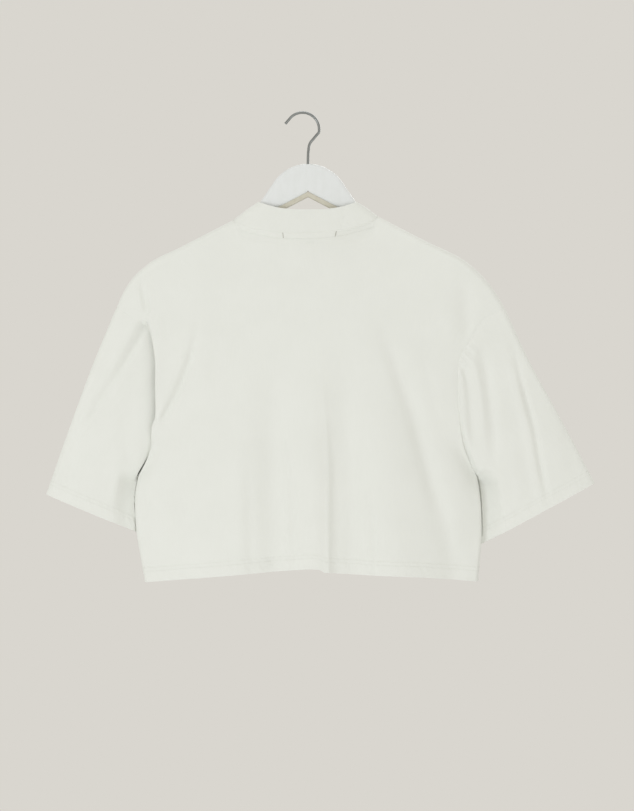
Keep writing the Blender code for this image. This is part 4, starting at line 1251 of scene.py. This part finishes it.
@dataclass
class Sleeve:
    """A half sleeve: rings from the armhole seam to the cuff.

    Attributes:
        side: Which sleeve it is.
        form: The garment's smooth form.
        back: The back panel, whose armhole it joins.
        front: The front panel.
        cuff_depth: Half of how far the cuff stands open from back to front.
        flatness: How close to its inner fold the sleeve lies flat; more is closer.
        hairpin: How far the sleeve stands off the seam that the pleat hides.
        hairpin_heights: Heights where that starts, is full, is still full and ends.
        clearance: Room between the sleeve's lower corner and the front panel.
        lift_reach: How far outside the body's edge that corner starts to move forward.
        lift_start: How far above the underarm it starts.
        lift_height: Height over which it comes forward.
        seam_depth: As cuff_depth, at the seam.
        dense_seam: Shares of its length of the close rings at the seam.
        dense_cuff: Share of its length where the cuff's close rings start.
        cuff_pucker: How strongly the cuff's hem puckers.
    """

    side: Side
    form: GarmentForm
    back: BodyPanel
    front: BodyPanel
    cuff_depth: float
    flatness: float
    rings: int = 112
    cuff_rings: int = 20
    hairpin: float = 0.0085
    hairpin_heights: tuple[float, float, float, float] = (-0.264, -0.322, -0.436, -0.470)
    clearance: float = 0.0035
    lift_reach: float = 0.030
    lift_start: float = 0.010
    lift_height: float = 0.020
    seam_depth: float = 0.012
    dense_seam: tuple[float, ...] = (0.0, 0.004, 0.008, 0.013, 0.019, 0.027, 0.037)
    dense_cuff: float = 0.86
    cuff_pucker: float = 0.32

    def __post_init__(self) -> None:
        """Works out the rings and their normals."""
        column = 0 if self.side is Side.LEFT else -1
        rows = self.back.underarm + 1
        back_edge, front_edge = self.back.grid[:rows, column], self.front.grid[:rows, column]
        self.loop = np.concatenate([back_edge, front_edge[-2:0:-1]])
        self.half = rows - 1
        self.grid = self._rings()
        outward = self.grid - self.grid.mean(axis=1, keepdims=True)
        self.normals = grid_normals(self.grid, True, outward)

    def _shares(self) -> np.ndarray:
        """Shares of the sleeve's length, close together at the seam and in the cuff's hem."""
        between = self.rings - len(self.dense_seam) - self.cuff_rings
        middle = np.linspace(self.dense_seam[-1], self.dense_cuff, between + 1)[1:]
        cuff = np.linspace(self.dense_cuff, 1.0, self.cuff_rings + 1)[1:]
        return np.concatenate([self.dense_seam, middle, cuff])

    def _fold_line(self, rows: list[SleeveEdge], share: float) -> np.ndarray:
        """A point of the outer or the inner fold line."""
        knots = np.array([row.share for row in rows])
        return np.array([hermite(knots, np.array([getattr(row, c) for row in rows]), share) for c in "xyz"])

    def _rings(self) -> np.ndarray:
        """Rings down the back, round the underarm and up the front."""
        count = len(self.loop)
        steps = np.linalg.norm(np.roll(self.loop, -1, axis=0) - self.loop, axis=1)
        run = np.concatenate([[0], np.cumsum(steps)])[:-1]
        self.angle = np.where(
            np.arange(count) <= self.half,
            math.pi * run / run[self.half],
            math.pi * (1 + (run - run[self.half]) / (steps.sum() - run[self.half])),
        )
        across = (1 - np.cos(self.angle)) / 2
        start = self._ring(0.0, across)
        fade = 0.85 - 0.65 * smooth((across - 0.6) / 0.4)
        rings = []
        for share in self._shares():
            points = self._ring(share, across) + (self.loop - start) * (1 - smooth(share / fade))[:, None]
            if self.side is Side.LEFT:
                points[:, 1] += self._sink(share, count)
            if share > 0:
                points[:, 1] += self._lift(points, count)
            rings.append(points)
        return np.array(rings)

    def _ring(self, share: float, across: np.ndarray) -> np.ndarray:
        """One ring of the smooth sleeve."""
        outer = self._fold_line(OUTER_FOLD[self.side], share)
        inner = self._fold_line(INNER_FOLD[self.side], share)
        points = (1 - across)[:, None] * outer + across[:, None] * inner
        # Away from the seam the sleeve lies flat nearly to its inner fold, and turns forward only there.
        bend = across ** (1 + self.flatness * float(smooth(np.array(share / 0.25))))
        points[:, 1] = outer[1] + (inner[1] - outer[1]) * bend
        depth = self.seam_depth + (self.cuff_depth - self.seam_depth) * share
        swing = np.sin(self.angle)
        points[:, 1] -= depth * np.sign(swing) * np.abs(swing) ** 0.8
        return points

    def _sink(self, share: float, count: int) -> np.ndarray:
        """How far the left sleeve leaves the hidden seam behind the pleat."""
        start, full, still, end = self.hairpin_heights
        z = self.loop[:, 2]
        behind = smooth((start - z) / (start - full)) * smooth((z - end) / (still - end))
        behind = behind * (np.arange(count) < self.half)
        gone = smooth(np.array((share - 0.06) / 0.42))
        return self.hairpin * behind * (1 - math.exp(-share / 0.012)) * (1 - gone)

    def _lift(self, points: np.ndarray, count: int) -> np.ndarray:
        """How far a ring has to move forward to hang in front of the front panel under the arm."""
        stand, reach = self.form.front_stand(points[:, 0], points[:, 2])
        top = SIDES[self.side][0].z
        near = smooth((reach + self.lift_reach) / self.lift_reach)
        near = near * smooth((top + self.lift_start - points[:, 2]) / self.lift_height)
        lift = np.clip(stand + self.clearance - points[:, 1], 0, None) * near
        lift[self.half + 1:] = 0
        lift[0] = 0
        # The front half moves only as far as it takes to stay in front of the back half.
        behind = slice(1, self.half)
        partner = (count - np.arange(1, self.half)) % count
        gap = points[partner, 1] - points[behind, 1]
        short = points[behind, 1] + lift[behind] + 0.4 * gap - points[partner, 1]
        lift[partner] = (short + np.hypot(short, 0.003 * near[behind])) / 2
        return lift

    def relief(self) -> np.ndarray:
        """How far seam, hem, creases and swell stand out of the smooth sleeve."""
        x, z = self.grid[..., 0], self.grid[..., 2]
        from_seam = run_along(self.grid, 0)
        swing = np.sin(self.angle)[None, :]
        total = -SEAM_SINK * bell(from_seam, SEAM_HALF_WIDTH)
        away = smooth(from_seam / 0.004)
        for face in Face:
            facing = smooth(-face.value * swing / 0.30)
            creased = sum(crease.relief(x, z) for crease in SLEEVE_CREASES[(self.side, face)])
            total = total + away * facing * creased
        total = total + 0.0005 * wave(x, z, 23 if self.side is Side.LEFT else 29) * smooth(from_seam / 0.03)
        pucker = np.full_like(x, self.cuff_pucker)
        return total + hem_relief(run_along(self.grid, 1), run_back(self.grid), 47, pucker)

    def shell(self, name: str) -> Shell:
        """The finished piece of cloth."""
        return hemmed_shell(name, self.grid, self.normals, self.relief(), True)


# ---------------------------------------------------------------- neckband

@dataclass
class Neckband:
    """The doubled band that stands up from the neck seam to its folded top edge."""

    form: GarmentForm
    back: BodyPanel
    front: BodyPanel
    top_centre_x: float = 0.0066
    top_half_width: float = 0.0650
    top_z: float = -0.1156
    top_drop: tuple[float, float] = (0.0105, 0.071)
    top_depth: tuple[float, float] = (0.0135, 0.0185)
    rings: int = 30
    cloth: float = 0.0017
    join_x: float = 0.053

    def __post_init__(self) -> None:
        """Works out the rings and their normals."""
        seam_back = self.back.grid[0, list(self.back.neck)]
        seam_front = self.front.grid[0, list(self.front.neck)]
        self.span = len(seam_back) - 1
        loop = np.concatenate([seam_back, seam_front[-2:0:-1]])
        is_back = np.arange(len(loop)) < len(seam_back)
        across = np.clip((loop[:, 0] - self.form.neck_centre_x) / self.form.neck_half_width, -1, 1)
        power = self.form.neck_squareness
        bow = (1 - np.abs(across) ** power) ** (1 / power)
        depth = np.where(is_back, -self.top_depth[0], self.top_depth[1])
        drop = np.where(is_back, *self.top_drop)
        top_x = self.top_centre_x + self.top_half_width * across
        top_z = self.top_z - drop * (1 - np.abs(across) ** 3) ** 1.2
        top = np.stack([top_x, depth * bow, top_z], axis=-1)
        shares = np.linspace(0, 1, self.rings)[:, None, None]
        self.grid = (1 - shares) * loop + shares * top
        self.normals = grid_normals(self.grid, True, self.grid - self.grid.mean(axis=1, keepdims=True))

    def shell(self, name: str) -> Shell:
        """The finished band, a little full between its seam and its fold, with its own join."""
        x, y, z = np.moveaxis(self.grid, -1, 0)
        from_seam, from_top = run_along(self.grid, 0), run_back(self.grid)
        rise = from_seam / from_seam[-1:]
        relief = 0.0006 * np.sin(math.pi * rise) - 0.0003 * bell(from_seam, 0.0014)
        relief = relief - 0.0008 * bell(from_top, 0.0010) * (1 - bell(from_top, 0.0002))
        relief = relief + 0.0003 * wave(x * 1.6, z * 2.0, 61) * np.sin(math.pi * rise)
        join = bell(x - self.join_x - 0.10 * (z + 0.140), 0.0010) * (y < 0)
        relief = relief - 0.0007 * join * smooth(rise / 0.1)
        thickness = self.cloth * (1 - 0.45 * bell(from_top, 0.0009))
        return Shell(name, self.grid + relief[..., None] * self.normals, True, self.normals, thickness)


# ---------------------------------------------------------------- stitches

@dataclass
class Stitch:
    """One stitch: a short bar of thread, domed along its length and sunk at its ends."""

    length: float = 0.0024
    thread: float = 0.00034

    def mesh(self) -> tuple[np.ndarray, np.ndarray]:
        """The bar lying along X on the plane z 0, as points and triangles."""
        bpy.ops.object.select_all(action="DESELECT")
        bpy.ops.mesh.primitive_cylinder_add(
            vertices=6, radius=self.thread / 2, depth=self.length, rotation=(0, math.pi / 2, 0)
        )
        bar = bpy.context.object
        bpy.ops.object.transform_apply(location=True, rotation=True, scale=True)
        bpy.ops.object.mode_set(mode="EDIT")
        for cut in (0.28, -0.28):
            bpy.ops.mesh.select_all(action="SELECT")
            bpy.ops.mesh.bisect(plane_co=(self.length * cut, 0, 0), plane_no=(1, 0, 0))
        bpy.ops.object.mode_set(mode="OBJECT")
        for vertex in bar.data.vertices:
            end = abs(vertex.co.x) / (self.length / 2)
            vertex.co.z += self.thread * (0.35 - 0.65 * end**2)
            vertex.co.y *= 1.0 - 0.35 * end**4
        bar.data.calc_loop_triangles()
        points = np.array([v.co for v in bar.data.vertices])
        faces = np.array([t.vertices for t in bar.data.loop_triangles])
        bpy.data.objects.remove(bar, do_unlink=True)
        return points, faces


@dataclass
class StitchRow:
    """A row of stitches laid along a line on a piece of cloth."""

    stitch: Stitch
    pitch: float = 0.0032
    look_ahead: float = 0.0008

    def copies(self, line: np.ndarray, normals: np.ndarray) -> tuple[np.ndarray, np.ndarray]:
        """Copies of the stitch along a line.

        Args:
            line: Points of the line.
            normals: The cloth's outward normal at each point.

        Returns:
            Points and triangles of all the copies.
        """
        bar, faces = self.stitch.mesh()
        run = run_along(line, 0)
        places = np.arange(self.pitch / 2, run[-1], self.pitch)
        centre = read_along(line, run, places)
        up = unit(read_along(normals, run, places))
        along = unit(read_along(line, run, places + self.look_ahead) - centre)
        beside = unit(np.cross(up, along))
        up = np.cross(along, beside)
        turn = np.stack([along, beside, up], axis=1)
        points = centre[:, None] + np.einsum("pk,nkc->npc", bar, turn)
        count = len(bar)
        all_faces = faces[None] + (np.arange(len(places)) * count)[:, None, None]
        return points.reshape(-1, 3), all_faces.reshape(-1, 3)


class Sewing:
    """Gathers rows of stitches into one piece for each part of the garment."""

    def __init__(self, finish: bpy.types.Material) -> None:
        """Keeps the thread's finish."""
        self.finish = finish
        self.row = StitchRow(Stitch())

    def rows_at(self, shell: Shell, distance: np.ndarray, heights: tuple[float, ...], proud: float = 0.00005
                ) -> list[tuple[np.ndarray, np.ndarray]]:
        """Rows that follow an edge at fixed distances from it.

        Args:
            shell: The cloth that carries them.
            distance: Each grid point's distance from the edge.
            heights: The rows' distances.
            proud: How far the thread stands off the surface.

        Returns:
            Points and triangles of each row.
        """
        made = []
        surface = shell.outer + proud * shell.normals
        for height in heights:
            line, normals = [], []
            for column, run in enumerate(distance.T):
                order = np.argsort(run)
                line.append(read_along(surface[order, column], run[order], height))
                normals.append(read_along(shell.normals[order, column], run[order], height))
            if shell.closed:
                line.append(line[0])
                normals.append(normals[0])
            made.append(self.row.copies(np.array(line), unit(np.array(normals))))
        return made

    def piece(self, name: str, rows: list[tuple[np.ndarray, np.ndarray]]) -> bpy.types.Object:
        """Joins rows into one object and returns it."""
        points, faces, count = [], [], 0
        for row_points, row_faces in rows:
            points.append(row_points)
            faces.append(row_faces + count)
            count += len(row_points)
        return add_mesh(name, np.concatenate(points), np.concatenate(faces), self.finish)


# ---------------------------------------------------------------- the garment

@dataclass
class CropTop:
    """The whole top: five pieces of cloth and their stitches."""

    jersey: bpy.types.Material
    rib: bpy.types.Material
    thread: bpy.types.Material
    # Thread whose grey is painted shade for the dimples of the label's end stitches.
    label_thread_and_shade: bpy.types.Material
    neck_rows: int = 40  # rows of a panel that reach past the strip under its neck seam
    label_ends: tuple[float, float] = (-0.0255, 0.0432)

    def __post_init__(self) -> None:
        """Works out every piece's grid, and shares the normals along their seams."""
        form, shares, pleat = GarmentForm(), GridShares(), Pleat()
        self.back = BodyPanel(Face.BACK, form, shares, pleat, BACK_CREASES)
        self.front = BodyPanel(Face.FRONT, form, shares, pleat, FRONT_CREASES)
        self.left = Sleeve(Side.LEFT, form, self.back, self.front, 0.0140, 2.0)
        self.right = Sleeve(Side.RIGHT, form, self.back, self.front, 0.0155, 12.0)
        self.band = Neckband(form, self.back, self.front)
        self._share_seam_normals()

    def _share_seam_normals(self) -> None:
        """Makes the pieces meet flush along every seam."""
        back, front, half = self.back.normals, self.front.normals, self.back.underarm
        for panel in (self.back, self.front):
            shoulder = np.ones(panel.normals.shape[1], bool)
            shoulder[panel.neck.start + 1: panel.neck.stop - 1] = False
            panel.normals[0, shoulder, 1] = 0
            panel.normals[0] = unit(panel.normals[0])
            for column in (0, -1):
                panel.normals[half:, column, 1] = 0
                panel.normals[half:, column] = unit(panel.normals[half:, column])
        for sleeve, column in ((self.left.normals, 0), (self.right.normals, -1)):
            count = sleeve.shape[1]
            for row in range(1, half):
                share_normals((back, (row, column)), (sleeve, (0, row)))
                share_normals((front, (row, column)), (sleeve, (0, count - row)))
            share_normals((back, (0, column)), (front, (0, column)), (sleeve, (0, 0)))
            share_normals((back, (half, column)), (front, (half, column)), (sleeve, (0, half)))
        band = self.band.normals
        first, count = self.back.neck.start, band.shape[1]
        for step in range(1, self.band.span):
            share_normals((back, (0, first + step)), (band, (0, step)))
            share_normals((front, (0, self.front.neck.start + step)), (band, (0, count - step)))
        for step in (0, self.band.span):
            start = (front, (0, self.front.neck.start + step))
            share_normals((back, (0, first + step)), start, (band, (0, step)))

    def build(self) -> list[bpy.types.Object]:
        """Builds the cloth and the stitches, and declares each."""
        sewing = Sewing(self.thread)
        back, front = self.back.shell("back_cloth"), self.front.shell("front_cloth")
        left, right = self.left.shell("sleeve_left_cloth"), self.right.shell("sleeve_right_cloth")
        band = self.band.shell("neckband_cloth")
        hem_rows = tuple(HEM_HEIGHT - row for row in HEM_ROWS)
        made = []
        for shell, panel, node, flat, area in (
            (back, self.back, "back", (0.51, 0.46), 0.200),
            (front, self.front, "front", (0.51, 0.44), 0.190),
        ):
            cloth = declare(shell.build(self.jersey), node)
            rows = sewing.rows_at(shell, run_back(panel.grid), hem_rows)
            strip = slice(panel.neck.start + 2, panel.neck.stop - 2)
            deep = self.neck_rows
            outer, normals = shell.outer[:deep, strip], shell.normals[:deep, strip]
            neck = Shell("neck", outer, False, normals, shell.thickness[:deep, strip])
            rows += sewing.rows_at(neck, panel.neck_distance()[:deep, strip], (panel.strip_height - 0.0002,))
            with_pieces = [declare(sewing.piece(f"{node}_stitches", rows))]
            if panel.face is Face.BACK:
                with_pieces.append(declare(self._label_ends(neck)))
            made += [cloth, *with_pieces]
        for shell, sleeve, node, area in (
            (left, self.left, "sleeve_left", 0.062), (right, self.right, "sleeve_right", 0.068),
        ):
            cloth = declare(shell.build(self.jersey), node)
            rows = sewing.rows_at(shell, run_back(sleeve.grid), hem_rows)
            stitches = declare(sewing.piece(f"{node}_stitches", rows))
            made += [cloth, stitches]
        cloth = declare(band.build(self.rib), "neckband")
        return [*made, cloth]

    def _label_ends(self, neck: Shell) -> bpy.types.Object:
        """The two short upright rows that hold the ends of the label inside the neck seam; their thread is
        darker than the rest as painted shade for the dimples they pull into the cloth.
        """
        sewing = Sewing(self.label_thread_and_shade)
        sewing.row = StitchRow(Stitch(0.0026, 0.0008), 0.0024)
        rows = []
        for x in self.label_ends:
            column = int(np.argmin(np.abs(neck.outer[0, :, 0] - x)))
            run = run_along(neck.outer, 0)[:, column]
            chosen = (run > 0.0004) & (run < self.back.strip_height)
            line = neck.outer[chosen, column] + 0.0002 * neck.normals[chosen, column]
            rows.append(sewing.row.copies(line, neck.normals[chosen, column]))
        return sewing.piece("label_end_stitches", rows)


# ---------------------------------------------------------------- hanger and hook

@dataclass
class HardPiece:
    """A smooth copy of one of the hard solids, in its finish."""

    node: str
    name: str
    slot: str
    finish: bpy.types.Material
    merge: float = 0.00001
    sharp_angle: float = math.radians(38)

    def build(self) -> bpy.types.Object:
        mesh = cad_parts[self.node].data.copy()
        mesh.name = self.name
        obj = add_object(self.name, mesh, self.finish)
        work = bmesh.new()
        work.from_mesh(mesh)
        bmesh.ops.remove_doubles(work, verts=work.verts, dist=self.merge)
        work.to_mesh(mesh)
        work.free()
        bpy.ops.object.select_all(action="DESELECT")
        obj.select_set(True)
        bpy.context.view_layer.objects.active = obj
        bpy.ops.object.shade_smooth_by_angle(angle=self.sharp_angle)
        return declare(obj, self.node)


@dataclass
class NotchUnderside:
    """The slanting underside of the hanger's notch, bare where the brush has not reached."""

    finish: bpy.types.Material
    apex_z: float = -0.1038
    length: float = 0.110
    depth: float = 0.0104
    fall: float = 0.0044
    overlap: float = 0.0012

    def build(self) -> bpy.types.Object:
        bpy.ops.object.select_all(action="DESELECT")
        bpy.ops.mesh.primitive_cube_add(size=1)
        bar = bpy.context.object
        bar.name = "hanger_notch_underside"
        bar.dimensions = (self.length, self.depth, self.fall + self.overlap)
        bar.location = (self.length / 2 - 0.012, 0, (self.overlap - self.fall) / 2)
        bpy.ops.object.transform_apply(location=True, rotation=True, scale=True)
        bpy.ops.object.mode_set(mode="EDIT")
        bpy.ops.mesh.select_all(action="SELECT")
        bpy.ops.mesh.bisect(
            plane_co=(0, -self.depth / 2, 0), plane_no=(0, self.fall, self.depth),
            use_fill=True, clear_inner=True,
        )
        bpy.ops.object.mode_set(mode="OBJECT")
        bar.rotation_euler = (0, NOTCH_SLANT, 0)
        bpy.ops.object.transform_apply(location=True, rotation=True, scale=True)
        mirror = bar.modifiers.new("other arm", "MIRROR")
        mirror.use_axis = (True, False, False)
        mirror.use_bisect_axis = (True, False, False)
        mirror.merge_threshold = 0.00001
        bpy.ops.object.modifier_apply(modifier=mirror.name)
        bar.location = (NOTCH_X, 0, self.apex_z)
        bpy.ops.object.transform_apply(location=True, rotation=True, scale=True)
        bar.data.materials.append(self.finish)
        return declare(bar)


# ---------------------------------------------------------------- studio

@dataclass
class SoftLight:
    """A large square light that looks at the top."""

    name: str
    place: tuple[float, float, float]
    size: float
    power: float
    colour: tuple[float, float, float] = (0.953, 1.0, 1.06)


@dataclass
class Studio:
    """Pale surroundings, soft light and the camera."""

    surround: tuple[float, float, float] = (0.694, 0.672, 0.624)
    floor_z: float = -2.2
    floor_radius: float = 7.0
    target: tuple[float, float, float] = (0.019, 0.0, -0.382)
    distance: float = 3.0
    field_height: float = 1.0624
    sensor: float = 36.0
    lights: tuple[SoftLight, ...] = (
        SoftLight("key", (-2.2, -2.5, -1.15), 1.5, 28.0),
        SoftLight("fill", (1.9, -2.6, -1.5), 2.2, 17.0),
        SoftLight("behind", (0.7, 2.3, 0.6), 2.0, 22.0),
        SoftLight("top", (0.2, -0.3, 1.7), 2.0, 9.0),
    )

    def build(self) -> None:
        """Builds the world, the floor, the lights and the camera."""
        self._world()
        self._floor()
        for light in self.lights:
            self._light(light)
        self._camera()
        bpy.context.scene.view_settings.view_transform = "Standard"

    def _world(self) -> None:
        """Even pale surroundings."""
        world = bpy.data.worlds.new("surroundings")
        world.use_nodes = True
        world.node_tree.nodes["Background"].inputs["Color"].default_value = (*self.surround, 1.0)
        bpy.context.scene.world = world

    def _floor(self) -> None:
        """A wide pale disc well below the hem."""
        bpy.ops.object.select_all(action="DESELECT")
        bpy.ops.mesh.primitive_circle_add(
            vertices=96, radius=self.floor_radius, fill_type="NGON", location=(0, 0, self.floor_z)
        )
        floor = bpy.context.object
        floor.name = "floor"
        floor.data.materials.append(FloorFinish().material())

    def _light(self, light: SoftLight) -> None:
        """One soft light aimed at the top."""
        data = bpy.data.lights.new(light.name, "AREA")
        data.size, data.energy, data.color = light.size, light.power, light.colour
        obj = bpy.data.objects.new(light.name, data)
        obj.location = light.place
        obj.rotation_mode = "QUATERNION"
        obj.rotation_quaternion = (Vector(self.target) - Vector(light.place)).to_track_quat("-Z", "Y")
        obj.visible_camera = False
        bpy.context.scene.collection.objects.link(obj)

    def _camera(self) -> None:
        """A level camera straight behind the top."""
        data = bpy.data.cameras.new("camera")
        data.sensor_width = self.sensor
        data.lens = self.sensor * self.distance / self.field_height
        camera = bpy.data.objects.new("camera", data)
        x, y, z = self.target
        camera.location = (x, y - self.distance, z)
        camera.rotation_euler = (math.pi / 2, 0, 0)
        bpy.context.scene.collection.objects.link(camera)
        bpy.context.scene.camera = camera


def main() -> None:
    """Builds the finishes, the hanger, the top and the studio, in that order."""
    logging.basicConfig(level=logging.INFO, format="%(message)s")
    groups = EffectGroups()
    jersey = KnitFinish("ivory_jersey", (0.812, 0.826, 0.786), (0.792, 0.806, 0.764)).material(groups)
    rib = KnitFinish("ivory_rib", (0.806, 0.820, 0.780), (0.782, 0.796, 0.754), wale=0.0016).material(groups)
    thread = ThreadFinish("ivory_thread", (0.80, 0.81, 0.76), (0.74, 0.75, 0.70)).material()
    # The label's end stitches are real, but their grey, darker than the ivory thread, is painted shade for
    # the dimples they pull into the cloth.
    label_thread_and_shade = ThreadFinish("label_stitch_painted_shade", (0.50, 0.49, 0.43), (0.36, 0.35, 0.30)).material()
    pieces = [
        HardPiece("hanger", "hanger_wood", "painted_wood", PaintedWoodFinish().material(groups)).build(),
        NotchUnderside(BareWoodFinish().material(groups)).build(),
        HardPiece("hook", "hook_wire", "steel_wire", SteelWireFinish().material(groups)).build(),
    ]
    pieces += CropTop(jersey, rib, thread, label_thread_and_shade).build()
    for piece in pieces:
        log.info("%s: %d faces", piece.name, len(piece.data.polygons))
    Studio().build()


if __name__ == "__main__":
    main()
